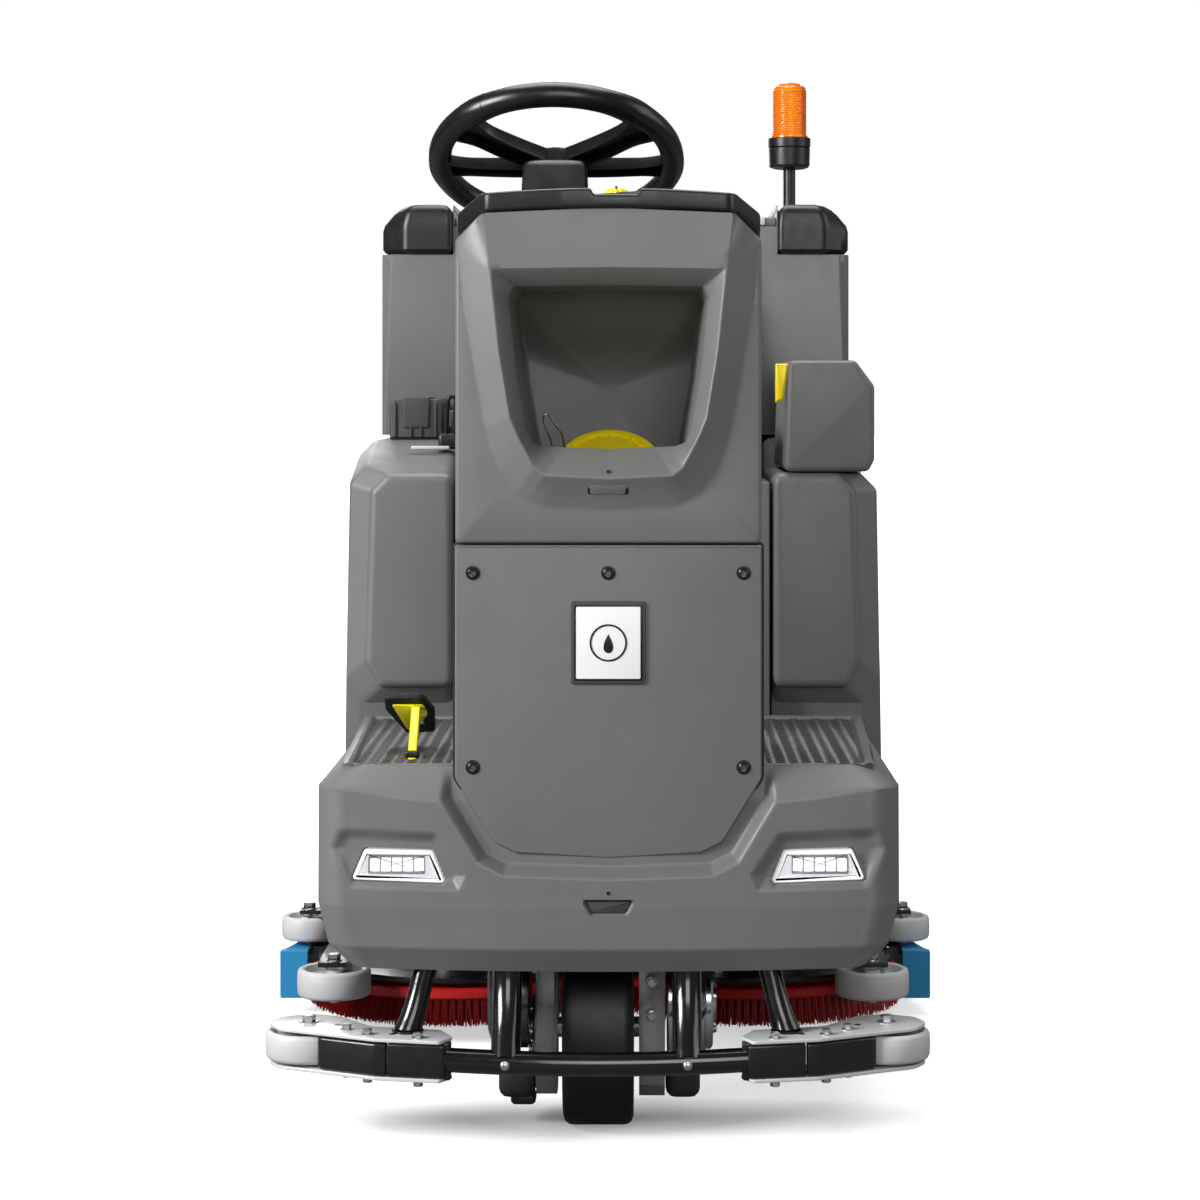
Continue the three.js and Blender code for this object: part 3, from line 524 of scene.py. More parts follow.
def moulded(name, colour, roughness=0.5, grain=900.0, depth=0.00006, coat=0.0, specular=0.5, scuff=0.06):
    """Moulded plastic: fine pebbled grain, slight cloudiness in tone, and roughness that wanders."""
    if name in MADE:
        return MADE[name]
    n = Nodes(name)
    cloud = n.spread(n.noise(6.0, 4.0), 0.0, 1.0)
    n.into("Base Color", n.mix(cloud, shade(colour, 1 - scuff), shade(colour, 1 + scuff)))
    n.into("Roughness", n.spread(n.noise(35.0, 5.0, 0.65), roughness - 0.06, roughness + 0.07))
    pebble = n.new("TexVoronoi", Vector=n.coords, Scale=grain).outputs["Distance"]
    fine = n.noise(grain * 1.7, 2.0)
    first = n.bump(pebble, depth)
    n.into("Normal", n.bump(fine, depth * 0.6, 1.0, first))
    n.into("Coat Weight", coat)
    n.into("Specular IOR Level", specular)
    MADE[name] = n.material
    return n.material


def metal(name, colour, roughness=0.35, brushed=0.0, metallic=1.0):
    """Plated or bare metal: cloudy tone, fine scratches along one way and wandering roughness."""
    if name in MADE:
        return MADE[name]
    n = Nodes(name)
    cloud = n.spread(n.noise(18.0, 5.0, 0.6), 0.0, 1.0)
    n.into("Base Color", n.mix(cloud, shade(colour, 0.86), shade(colour, 1.06)))
    n.into("Metallic", metallic)
    n.into("Roughness", n.spread(n.noise(60.0, 6.0, 0.7), roughness - 0.08, roughness + 0.1))
    stretch = n.new("Mapping", Vector=n.coords)
    stretch.inputs["Scale"].default_value = (1.0, 1.0, 40.0) if brushed else (1.0, 1.0, 1.0)
    scratch = n.noise(420.0, 2.0, 0.5, stretch.outputs["Vector"])
    n.into("Normal", n.bump(scratch, 0.00002 + brushed * 0.00003))
    MADE[name] = n.material
    return n.material


def coated(name, colour, roughness=0.35, coat=0.3, orange=0.00008, scale=260.0):
    """Powder coat or gloss paint: orange-peel waviness, faint dust in the tone and a clear coat."""
    if name in MADE:
        return MADE[name]
    n = Nodes(name)
    dust = n.spread(n.noise(14.0, 6.0, 0.6), 0.0, 1.0, 0.35, 0.75)
    n.into("Base Color", n.mix(dust, colour, shade(colour, 1.35)))
    n.into("Roughness", n.spread(n.noise(40.0, 4.0), roughness - 0.06, roughness + 0.08))
    n.into("Normal", n.bump(n.noise(scale, 2.0), orange))
    n.into("Coat Weight", coat)
    n.into("Coat Roughness", 0.12)
    MADE[name] = n.material
    return n.material


def clear(name, colour, roughness=0.05, transmission=0.95, ribs=0.0):
    """Clear or tinted plastic, with faint moulding waves."""
    if name in MADE:
        return MADE[name]
    n = Nodes(name)
    tone = n.spread(n.noise(30.0, 3.0), 0.0, 1.0)
    n.into("Base Color", n.mix(tone, shade(colour, 0.94), colour))
    n.into("Roughness", roughness)
    n.into("IOR", 1.49)
    n.into("Transmission Weight", transmission)
    n.into("Normal", n.bump(n.noise(80.0 + ribs, 1.0), 0.00004))
    MADE[name] = n.material
    return n.material


def vinyl(name="seat_vinyl_black"):
    """Seat vinyl: leather-like cells of two sizes, wrinkles and a soft sheen."""
    if name in MADE:
        return MADE[name]
    n = Nodes(name)
    base = srgb(44, 44, 46)
    cloud = n.spread(n.noise(9.0, 5.0), 0.0, 1.0)
    n.into("Base Color", n.mix(cloud, shade(base, 0.8), shade(base, 1.2)))
    cells = n.new("TexVoronoi", Vector=n.coords, Scale=520.0,
                  _feature="DISTANCE_TO_EDGE").outputs["Distance"]
    first = n.bump(n.spread(cells, 0.0, 1.0, 0.0, 0.25), 0.00012)
    n.into("Normal", n.bump(n.noise(60.0, 6.0, 0.7), 0.0004, 0.6, first))
    n.into("Roughness", n.spread(n.noise(50.0, 4.0), 0.42, 0.6))
    n.into("Sheen Weight", 0.15)
    MADE[name] = n.material
    return n.material


def body_plastic():
    return moulded("body_plastic_grey", tuple(settings().body_colour), 0.42, 1100.0, 0.00005)


def dark_plastic():
    return moulded("dark_plastic", srgb(60, 60, 60), 0.55, 800.0)


def black_plastic():
    return moulded("black_plastic", srgb(15, 15, 16), 0.36, 700.0, 0.00005)


def cap_plastic():
    return moulded("cap_plastic", srgb(20, 20, 21), 0.36, 900.0, 0.00003)


def grip_black():
    return moulded("grip_black", srgb(9, 9, 10), 0.3, 1000.0, 0.00002, coat=0.08)


def frame_black():
    return coated("frame_black", srgb(15, 15, 16), 0.3, 0.25)


def gloss_black():
    return coated("gloss_black", srgb(9, 9, 10), 0.17, 0.6)


def bright_steel():
    return metal("zinc_steel", srgb(205, 205, 208), 0.32)


def dull_steel():
    return metal("dull_steel", srgb(150, 150, 152), 0.42)


def chrome():
    return metal("chrome", srgb(225, 225, 228), 0.14)


def roller_grey():
    return moulded("roller_grey", tuple(settings().roller_colour), 0.48, 600.0, 0.00004)


def yellow_plastic():
    return moulded("yellow_plastic", tuple(settings().accent_colour), 0.32, 1000.0, 0.00002, coat=0.2,
                   scuff=0.02)


def yellow_paint():
    return coated("yellow_paint", tuple(settings().accent_colour), 0.3, 0.4, 0.00004)


def rubber_black():
    return moulded("rubber_black", srgb(17, 17, 17), 0.62, 500.0, 0.00008)


def tyre_rubber():
    return moulded("tyre_rubber", srgb(13, 13, 13), 0.5, 350.0, 0.00012, scuff=0.14)


def blue_rubber():
    return moulded("blue_rubber", tuple(settings().lip_colour), 0.5, 500.0, 0.00006)


def bristle_red():
    return moulded("bristle_red", tuple(settings().bristle_colour), 0.45, 300.0, 0.00005, scuff=0.25)


# ---- column front with its hopper ---------------------------------------------------------------

COLUMN_EDGE = points((-200.5, 799), (-200.5, 1196), (-166, 1231), (0, 1238), (166, 1231), (200.5, 1196),
                     (200.5, 799))
CREASE = both_sides([(-166, 1230.6), (-200, 1196), (-191, 1124), (-175.5, 1025), (-162.5, 954),
                     (-153, 919), (-144, 894), (-120.6, 863), (-89, 847), (0, 842)])
RIDGE = both_sides([(0, 1237), (-162.5, 1230), (-154.6, 1157), (-143, 1050), (-128.5, 962), (-118, 937),
                    (-98, 899), (-84, 888), (0, 884)])[:-1]
BROW = both_sides([(0, 1160), (-152, 1158), (-141.3, 1050), (-126.8, 963), (-116, 938.5), (-96.5, 901.5),
                   (-83, 890.5), (0, 886.5)])[:-1]
MOUTH = both_sides([(0, 1137), (-124, 1135), (-131, 1122), (-120.6, 1025), (-107.6, 946), (-101, 932),
                    (-88, 926.5), (0, 923)])[:-1]
THROAT = both_sides([(0, 1134), (-120, 1132), (-127, 1119), (-116, 1015), (-104, 936), (-98, 870),
                     (-88, 838), (0, 832)])[:-1]
BACK = both_sides([(0, 1130), (-116, 1128), (-123, 1115), (-112, 1010), (-98, 930), (-90, 862),
                   (-80, 838), (0, 832)])[:-1]


def column_surface():
    """Rings about the hopper's middle, one point on each of the same rays: from the rear of the
    housing, round its front edge, up the bevel to the ridge, in over the brow to the mouth, down the
    throat to the back."""
    rays = np.linspace(0, 2 * np.pi, 420, endpoint=False) + 0.004
    centre = np.array((0.0, 1020.0))

    def ring(outline, y):
        return place(by_rays(outline, centre, rays), "y", y)

    def between(a, b, t, y):
        return ring(a, y) * (1 - t) + ring(b, y) * t

    def housing(y, inward=0.0):
        out = ring(inset(COLUMN_EDGE, inward), y)
        low = np.clip((1190 - out[:, 2]) / 391, 0, 1)
        out[:, 2] -= 290 * low
        high = smooth_step(out[:, 2], 900, 1190)
        out[:, 2] -= DASH_SLOPE * (y - FRONT) * high
        return out

    edge = round_corners(COLUMN_EDGE, 5, 3)
    rings = [housing(-560, 14), housing(-561, 8), housing(-566, 3), housing(-574, 0), housing(-879, 0),
             ring(edge, -882), ring(edge, -898), ring(inset(edge, 0.8), -901.5),
             ring(inset(edge, 2.6), -904), ring(inset(edge, 5.0), FRONT),
             between(inset(edge, 5.0), CREASE, 0.9, FRONT), ring(CREASE, FRONT - 0.4),
             between(CREASE, RIDGE, 0.08, -906.2), between(CREASE, RIDGE, 0.9, -925.6),
             between(CREASE, RIDGE, 0.97, -927.5), ring(RIDGE, -928), between(RIDGE, BROW, 0.5, -928),
             ring(BROW, -927.4), between(BROW, MOUTH, 0.06, -926.4), between(BROW, MOUTH, 0.93, -903),
             ring(MOUTH, -900), ]

    def scooped(r, depth):
        """A ring whose depth is less towards the top and the sides, so that the hollow is a scoop."""
        high = smooth_step(r[:, 2], 1040, 1150)
        r[:, 1] = -900 + (r[:, 1] + 900) * (1 - depth * high)
        return r

    rings += [scooped(between(MOUTH, THROAT, 0.06, -895), 0.5),
              scooped(between(MOUTH, THROAT, 0.5, -878), 0.5), scooped(ring(THROAT, -850), 0.5),
              scooped(between(THROAT, BACK, 0.5, -775), 0.5), scooped(between(THROAT, BACK, 0.97, -716),
            0.5)]
    wall = scooped(ring(BACK, -712), 0.5)
    middle = np.array((0.0, -712.0, 1000.0))
    for t in (0.03, 0.08, 0.14, 0.22, 0.32, 0.44, 0.57, 0.7, 0.84, 0.95):
        r = wall * (1 - t) + middle * t
        r[:, 1] = wall[:, 1] * (1 - t) ** 2 + (1 - (1 - t) ** 2) * (-702 - 50 * smooth_step(r[:, 2],
                1030, 1140))
        rings.append(r)
    return skin(rings)


def rounded_bar(x0, x1, z0, z1, y_low, y_high, radius, edge):
    """A plate in the X-Z plane with rounded corners and rims."""
    return slab(rect(x0, x1, z0, z1, radius, 6), "y", y_low, y_high, edge)


def cap_surface():
    """The cap's outline as rounded slab rings, sheared to the fall of the console, with a bowed front
    lip, a middle 6 mm higher than its ends, and a finger notch above the selector."""
    outline = points((-160, -922), (-60, -934), (60, -934), (160, -922), (201, -850), (201, -720.5),
                     (-201, -720.5), (-201, -850))
    dense = resample(round_corners(outline, (14, 30, 30, 14, 22, 2, 2, 22), 7), 420)
    v, f = slab(dense, "z", 0, 26, 5.0, 5)
    v = v.copy()
    high = v[:, 2] > 12
    notch = smooth_step(v[:, 0], -24, -18) * (1 - smooth_step(v[:, 0], 38, 44)) * (v[:, 1] < -870)
    v[:, 2] -= 8 * notch * high
    v[:, 2] += 1230.6 - DASH_SLOPE * np.maximum(v[:, 1] - FRONT,
                                                0) + 6 * np.clip(1 - (v[:, 0] / 165) ** 2, 0, 1)
    return v, f


# ---- skirt and step decks -------------------------------------------------------------------------

CHANNEL = both_sides([(-216, 540), (-219.9, 464), (-170.5, 384), (-136.7, 367), (0, 363)])
LAMP = round_corners([(-337, 359), (-320, 399), (-230, 398), (-212, 354)], 5, 5)
BEZEL = round_corners([(-366, 400), (-352, 428), (-222, 424), (-184, 368), (-194, 346), (-338, 348)],
                      (14, 14, 12, 6, 6, 8), 5)
LATCH = round_corners([(-33, 336), (33, 336), (23, 318), (-23, 318)], 3, 4)
SKIRT_TOP = 507.0


def deck_half(y):
    """The deck's half width, which grows from front to rear."""
    return 351 + 25 * (np.asarray(y, float) + 893) / 614


def skirt_surface():
    """Columns follow the plan outline (side, quarter-circle corner, bowed front, and their mirror
    image) and rows the height. The front is pressed in where the panel's channel, lamp bezels and latch
    are, by an S curve of the distance from each outline."""
    z = np.unique(np.concatenate([np.linspace(240, 257, 5), np.linspace(257, 272, 5),
                                  np.linspace(272, 325, 26), np.linspace(325, 440, 66),
                                  np.linspace(440, SKIRT_TOP, 26)]))[:, None]
    half = np.interp(z, (240, 257, 272, 325, 479, SKIRT_TOP), (342, 360, 371, 384, 384, 351))
    front = np.interp(z, (240, 257, 272, 325, 470), (-906, -916, -925, -926.5, -922))
    bow = 30.0
    corner = 46.0
    meets = front + bow * ((half - corner) / half) ** 2
    side_t = np.linspace(0, 1, 36)[None, :-1]
    angle = np.linspace(0, np.pi / 2, 15)[None, :-1]
    across = np.linspace(-1, 1, 271)[None, :]
    side_y = -279 + side_t * (meets + corner + 279)
    side_x = -half + 0 * side_t
    lift = np.clip((z - 479) / (SKIRT_TOP - 479), 0, 1)
    side_x = side_x + lift * (half - deck_half(side_y)) * (z > 479)
    corner_x = -half + corner * (1 - np.cos(angle))
    corner_y = meets + corner * (1 - np.sin(angle))
    front_x = across * (half - corner)
    front_y = front + bow * (front_x / half) ** 2
    x = np.hstack([side_x, corner_x, front_x, -corner_x[:, ::-1], -side_x[:, ::-1]])
    y = np.hstack([side_y, corner_y, front_y, corner_y[:, ::-1], side_y[:, ::-1]])
    zz = z + 0 * x
    flank = smooth_step(y, -850, -700)
    crease = 479 - 16 * (1 - smooth_step(np.abs(x), 215, 384))
    rise = np.clip((zz - crease) / (SKIRT_TOP - crease), 0, 1)
    y = y + 29 * rise * (1 - flank)
    d = edge_distance(x, zz, CHANNEL)
    y = y + (1 - flank) * (1 - rise) * 21 * smooth_step(-d, -1, 15)
    for hand in (1, -1):
        b = edge_distance(hand * x, zz, BEZEL)
        lamp = edge_distance(hand * x, zz, LAMP)
        y = y + (1 - flank) * (9 * smooth_step(-b, -1, 17) + 22 * smooth_step(-lamp, -2.0, 1.0))
    y = y + 8 * smooth_step(-edge_distance(x, zz, LATCH), -1.5, 2.0) * (y < -800)
    rings = np.stack([x, y, zz], -1)
    inner = rings[::-1].copy()
    inner[..., 0] *= 0.982
    inner[..., 1] = np.where(inner[..., 1] < -700, inner[..., 1] + 9, inner[..., 1])
    inner[..., 2] = np.minimum(inner[..., 2], SKIRT_TOP - 3)
    both = np.concatenate([rings, inner])
    rows, cols = both.shape[:2]
    v = both.reshape(-1, 3)
    f = grid_faces(rows, cols, close_rows=True)
    f.append([i * cols for i in range(rows)])
    f.append([i * cols + cols - 1 for i in range(rows)][::-1])
    return v, outward(v, f)


TREAD = points((-340, -868), (-362, -293), (-208, -293), (-208, -868))


def deck_surface():
    """A height field over the deck: rows along Y, columns a share of the half width, which follows the
    front corners. The two treads lie 7 mm below the rim, behind an S-shaped step, with a raised bead
    round each."""
    y = np.unique(np.concatenate([np.linspace(-894, -860, 26), np.linspace(-860, -279, 120)]))[:, None]
    u = np.linspace(-1, 1, 281)[None, :]
    corner = 46.0
    gone = np.clip((-847.0 - y) / corner, 0, 1)
    half = deck_half(y) - corner * (1 - np.sqrt(np.clip(1 - gone ** 2, 0, 1)))
    x = u * half
    front = -893.6 + 30 * (x / 351) ** 2
    yy = np.maximum(y + 0 * x, front)
    z = np.full(x.shape, SKIRT_TOP)
    for hand in (1, -1):
        d = edge_distance(hand * x, yy, TREAD)
        z = z - 7 * smooth_step(-d, 0, 5) + 1.3 * np.exp(-((d - 4) / 2.2) ** 2)
    top = np.stack([x, yy, z], -1)
    low = top[::-1].copy()
    low[..., 2] = SKIRT_TOP - 14
    low[..., 0] *= 0.995
    both = np.concatenate([top, low])
    rows, cols = both.shape[:2]
    v = both.reshape(-1, 3)
    f = grid_faces(rows, cols, close_rows=True)
    f.append([i * cols for i in range(rows)])
    f.append([i * cols + cols - 1 for i in range(rows)][::-1])
    return v, outward(v, f)


def tread_surface(hand):
    """The anti-slip field: ribs 3.2 mm high every 21 mm, each bent as a cosine 34 mm long."""
    y = np.linspace(-862, -299, 376)[:, None]
    u = np.linspace(0, 1, 66)[None, :]
    outer = 334 + 22 * (y + 868) / 575
    x = 214 + u * (outer - 214)
    wave = y + 5.5 * np.cos(2 * np.pi * x / 34.0)
    line = np.abs(wave / 21.0 - np.round(wave / 21.0)) * 21.0
    height = 3.2 * (1 - smooth_step(line, 1.5, 7.5))
    top = np.stack([hand * x, y + 0 * x, 501.2 + height], -1)
    low = top[::-1].copy()
    low[..., 2] = 498
    both = np.concatenate([top, low])
    rows, cols = both.shape[:2]
    v = both.reshape(-1, 3)
    f = grid_faces(rows, cols, close_rows=True)
    f.append([i * cols for i in range(rows)])
    f.append([i * cols + cols - 1 for i in range(rows)][::-1])
    return v, outward(v, f)


def socket_screw(centre, radius=7.5):
    """A domed head with a round socket: a turned profile that ends in a pit."""
    head = [(3.4, 2.0), (3.6, -2.2), (5.2, -2.6), (radius - 0.8, -1.6), (radius, -0.2), (radius, 1.0),
            (radius - 1, 2.5), (0, 2.5)]
    return revolve(head, centre, "y", 24)


def lofted(stations, sections, front_edge=12.0, rear_edge=12.0, steps=4):
    """Sections at stations along Y, with both ends rounded over by inset rings on a quarter circle."""
    rings = []
    t = np.linspace(0, np.pi / 2, steps + 1)
    for s in t[:-1]:
        rings.append(place(inset(sections[0], front_edge * (1 - np.sin(s))), "y",
                           stations[0] + front_edge * (1 - np.cos(s))))
    rings.append(place(sections[0], "y", stations[0] + front_edge))
    for y, s in zip(stations[1:-1], sections[1:-1]):
        rings.append(place(s, "y", y))
    rings.append(place(sections[-1], "y", stations[-1] - rear_edge))
    for s in t[::-1][1:]:
        rings.append(place(inset(sections[-1], rear_edge * (1 - np.sin(s))), "y",
                           stations[-1] - rear_edge * (1 - np.cos(s))))
    return skin(rings)


def tank_section(bottom, top, outer, radius=16.0, inner=242.0):
    """A side tank's section: upright inner wall, tumblehome outside and wide round corners."""
    return round_corners([(inner, bottom), (outer - 22, bottom), (outer, bottom + 40),
                          (outer - 8, top - 26), (outer - 34, top), (inner, top)],
                         (radius + 2, radius, radius, radius, radius, radius + 2), 7)


# ---- pieces -----------------------------------------------------------------------------------------

def make_column():
    """Column with its hopper, the hopper's latch with a black rim of painted shade, black discs of painted
    shade for the vent holes, and the top cap.
    """
    body = body_plastic()
    p = Parts()
    p.add(*shifted(column_surface(), (BODY_X, 0, 0)))
    col = p.make("column_moulding", body, slot="body_plastic", smooth=32)
    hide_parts("column_shell")
    latch = Parts()
    lean = np.arctan2(22.5, 42.0)
    # The black bar behind is larger than the grey plate and shows round it, most of all above: painted
    # shade for the edge of the latch's recess.
    for x0, x1, z0, z1, low, high, k in ((-27, 27, -9, 9, -0.8, 6, 1),
                                         (-23.5, 22.5, -8.5, 4.5, -1.6, 6, 0)):
        bar = shifted(rounded_bar(x0, x1, z0, z1, low, high, 3.5, 0.6), (BODY_X, -919.6, 872))
        latch.add(*tilted(bar, lean, (BODY_X, -919.6, 872)), k)
    latch.make("hopper_latch", [body, black_plastic()], slot="body_plastic")
    # Solid black discs where the vent holes are: painted shade for the dark insides of the holes.
    hole_shade = Parts()
    hole_shade.add(*revolve([(0, -1), (2.3, -1), (2.3, 3), (0, 3)], (BODY_X, -924.6, 894), "y", 16))
    hole_shade.add(*revolve([(0, -1.2), (2.3, -1.2), (2.3, 3), (0, 3)], (BODY_X, -926, 346), "y", 16))
    hole_shade.make("vent_hole_painted_shade", black_plastic(), slot="black_plastic")
    cap = mesh_object("column_top_cap", *shifted(cap_surface(), (BODY_X, 0, 0)), cap_plastic(),
                      slot="black_plastic", smooth=30)
    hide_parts("column_cap")


def make_service_panel():
    """Front service panel on a black rim of painted shadow, with five socket screws and a plain badge."""
    body = body_plastic()
    outline = round_corners([(-200.5, 797), (-200.5, 492), (-149, 409), (-121, 395), (0, 388),
                             (121, 395), (149, 409), (200.5, 492), (200.5, 797)],
                            (2, 16, 16, 10, 60, 10, 16, 16, 2), 6)
    panel = mesh_object("front_service_panel", *shifted(slab(outline, "y", FRONT, -884, 2.6, 4),
                                                        (BODY_X, 0, 0)), body, slot="body_plastic",
                        smooth=32)
    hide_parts("service_panel")
    # A black strip 3.5 mm wider than the panel, behind its edge: painted shadow for the dark line in the
    # gap round the panel.
    shadow_rim = inset(outline, -3.5)
    mesh_object("panel_painted_shadow_rim", *shifted(slab(shadow_rim, "y", -891, -880, 1, 2), (BODY_X, 0, 0)),
                rubber_black(), slot="rubber")
    screws = Parts()
    for x, z in ((-177, 761), (0, 761), (177, 761), (-177, 507), (177, 507)):
        screws.add(*socket_screw((x + BODY_X, FRONT - 0.6, z)))
        screws.add(*revolve([(7.2, 0.6), (9.4, 0.6), (9.6, -0.5), (7.2, -0.7)], (x + BODY_X, FRONT, z),
                            "y", 24, closed=True))
    s = screws.make("panel_socket_screws", frame_black(), slot="black_steel")
    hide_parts("panel_screws")
    badge = Parts()
    badge.add(*shifted(rounded_bar(-49, 49, 616, 724, -908.4, -904, 4, 1.4), (BODY_X, 0, 0)), 0)
    badge.add(*shifted(rounded_bar(-44.5, 44.5, 620.5, 719.5, -909.6, -907, 2, 0.5), (BODY_X, 0, 0)), 1)
    badge.add(*shifted(rounded_bar(-42, 42, 623, 717, -910.4, -909, 2, 0.3), (BODY_X, 0, 0)), 2)
    ring = [(22, -911), (24.5, -911), (24.5, -910), (22, -910)]
    badge.add(*revolve(ring, (BODY_X, 0, 670), "y", 64, closed=True), 1)
    a = np.linspace(0, 2 * np.pi, 40, endpoint=False)
    drop = np.stack([8.5 * np.sin(a) * np.sin(a / 2) ** 1.2, 670 + 12.5 * np.cos(a) - 1], 1)
    badge.add(*shifted(slab(drop, "y", -911, -910, 0.2, 2), (BODY_X, 0, 0)), 1)
    b = badge.make("badge_plate", [dark_plastic(), black_plastic(),
                                   moulded("badge_white", srgb(240, 240, 240), 0.35, 900.0, 0.00001,
                                           scuff=0.01)], slot="dark_plastic")
    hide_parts("badge")


def make_skirt():
    """Front skirt with its lamp bezels, the deck and both anti-slip treads."""
    body = body_plastic()
    skirt = mesh_object("skirt_moulding", *shifted(skirt_surface(), (BODY_X, 0, 0)), body,
                        slot="body_plastic", smooth=35)
    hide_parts("front_skirt")
    mesh_object("step_deck", *shifted(deck_surface(), (BODY_X, 0, 0)), body, slot="body_plastic",
                smooth=35)
    tread = moulded("tread_plastic", srgb(66, 66, 66), 0.32, 900.0, 0.00005, coat=0.1)
    for side, hand in SIDES:
        mesh_object("step_tread_" + hand, *shifted(tread_surface(side), (BODY_X, 0, 0)), tread,
                    slot="body_plastic", smooth=35)
    latch = Parts()
    latch.add(*shifted(slab(inset(LATCH, 1.6), "y", -922.5, -917, 1.2), (BODY_X, 0, 0)))
    latch.make("skirt_latch", dark_plastic(), slot="dark_plastic")


def lamp_cell():
    """Lit light cell: white, with small Voronoi pits."""
    n = Nodes("lamp_cell")
    n.into("Base Color", n.mix(n.spread(n.noise(300.0), 0, 1), srgb(250, 250, 252),
                               srgb(232, 234, 238)))
    n.into("Roughness", 0.12)
    n.into("Emission Color", srgb(255, 255, 255))
    n.into("Emission Strength", 1.1)
    pits = n.new("TexVoronoi", Vector=n.coords, Scale=420.0).outputs["Distance"]
    n.into("Normal", n.bump(pits, 0.0002))
    return n.material


def make_lamps():
    """Headlights: a bright reflector tray, five square light cells and a clear rimmed lens in each
    bezel."""
    tray_white = moulded("lamp_reflector", srgb(236, 236, 238), 0.18, 500.0, 0.00002, coat=0.5,
                         scuff=0.03)
    glow = tray_white.node_tree.nodes["Principled BSDF"].inputs
    glow["Emission Color"].default_value = (1.0, 1.0, 1.0, 1.0)
    glow["Emission Strength"].default_value = 0.42
    cell_white = lamp_cell()
    lens = clear("lamp_clear", srgb(246, 248, 250), 0.04, 0.9)
    line = moulded("lamp_line", srgb(120, 122, 124), 0.3)
    for side, hand in SIDES:
        lamp = Parts()
        y = -889.0

        def add(made, k):
            lamp.add(*shifted(for_side(made, side), (BODY_X, 0, 0)), k)

        add(slab(inset(LAMP, 0.6), "y", y - 2, y + 12, 1.0), 0)
        add(rounded_bar(-315, -240, 366, 390, y - 4.2, y - 1, 3, 1.0), 2)
        for k in range(5):
            x = -306 + 14.5 * k
            add(rounded_bar(x - 6.3, x + 6.3, 370, 386.5, y - 7, y - 3, 1.6, 1.2), 1)
            add(revolve([(0, -9.2), (2.6, -8.6), (4.6, -6.8), (4.6, -6), (0, -6)], (x, y, 378.2), "y",
                        16), 1)
        outer, inner = inset(LAMP, 0.8), inset(LAMP, 5.5)
        rim = [place(outer, "y", y + 2), place(outer, "y", y - 11),
               place(inset(LAMP, 2.0), "y", y - 12.6), place(inner, "y", y - 12.2),
               place(inset(LAMP, 6.4), "y", y - 9), place(inset(LAMP, 6.4), "y", y - 1)]
        add(skin(rim, "loop"), 0)
        l = lamp.make("headlight_unit_" + hand, [tray_white, cell_white, line], slot="clear_lens")
        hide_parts("headlight_" + hand)
        cover = Parts()
        cover.add(*shifted(for_side(slab(inset(LAMP, 6.0), "y", y - 12.4, y - 10.4, 0.6), side),
                           (BODY_X, 0, 0)))
        cover.make("headlight_cover_" + hand, lens, slot="clear_lens")


def slant_corners(obj):
    """Draws the outer upper corners in, so that they follow the slant of the handle caps."""
    count = len(obj.data.vertices)
    v = np.empty(count * 3)
    obj.data.vertices.foreach_get("co", v)
    v = v.reshape(-1, 3) * 1000
    across = v[:, 0] - BODY_X
    limit = np.interp(v[:, 2], (1262, 1290, 1306, 1330), (386, 366, 348, 330))
    across = np.sign(across) * np.minimum(np.abs(across), limit)
    v[:, 0] = across + BODY_X
    obj.data.vertices.foreach_set("co", (v * 0.001).ravel())
    obj.data.update()


def make_tanks():
    """Side tanks, recovery tank with its lid and handle caps, seat base and side box."""
    body = body_plastic()
    right = [(-275, 548, 874, 378), (-240, 522, 882, 408), (-222, 340, 887, 412), (-80, 334, 921, 412),
             (895, 334, 921, 412)]
    left = [(-275, 548, 874, 378), (-240, 522, 874, 408), (-222, 340, 874, 412), (100, 334, 874, 412),
            (124, 334, 921, 412), (895, 334, 921, 412)]
    for side, hand, rows in ((-1, "right", right), (1, "left", left)):
        made = lofted([r[0] for r in rows], [tank_section(*r[1:]) for r in rows], 13, 13, 5)
        t = mesh_object("tank_moulding_" + hand, *shifted(for_side(made, side), (BODY_X, 0, 0)), body,
                        slot="body_plastic", smooth=28)
        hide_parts("side_tank_" + hand)
    t = cad_copy("recovery_tank", "recovery_tank_moulding", body, 7, 4, 40)
    slant_corners(t)
    cad_copy("seat_base", "seat_base_moulding", body, 6, 3)
    lid = cad_copy("tank_lid", "tank_lid_moulding", body, 3, 3)
    slant_corners(lid)
    side_box = round_corners([(260, 876), (388, 876), (397, 894), (397, 1006), (368, 1045), (266, 1045)],
                             (12, 12, 12, 16, 14, 12), 7)
    b = mesh_object("side_box_moulding", *shifted(lofted([-275, 0, 95], [side_box] * 3, 9, 9),
                                                  (BODY_X, 0, 0)), body, slot="body_plastic", smooth=28)
    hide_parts("side_box_left")
    rings = []
    for z, outer, edge in ((1224.5, 386, 9), (1227, 386, 4), (1232, 386, 0), (1262, 386, 0), (1272, 383, 0),
                           (1290, 369, 1.5), (1298, 362, 4), (1304, 356, 9), (1306, 350, 16)):
        plan = [(268 + edge, 112 + edge), (346 - edge, 112 + edge), (outer - edge, 150),
                (outer - edge, 262 - edge), (268 + edge, 262 - edge)]
        rings.append(place(resample(round_corners(plan, (10, 18, 18, 12, 10), 7), 200), "z", z))
    for side, hand in SIDES:
        c = mesh_object("tank_handle_cap_" + hand, *shifted(for_side(skin(rings), side), (BODY_X, 0, 0)),
                        cap_plastic(), slot="black_plastic", smooth=35)
        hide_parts("tank_cap_" + hand)


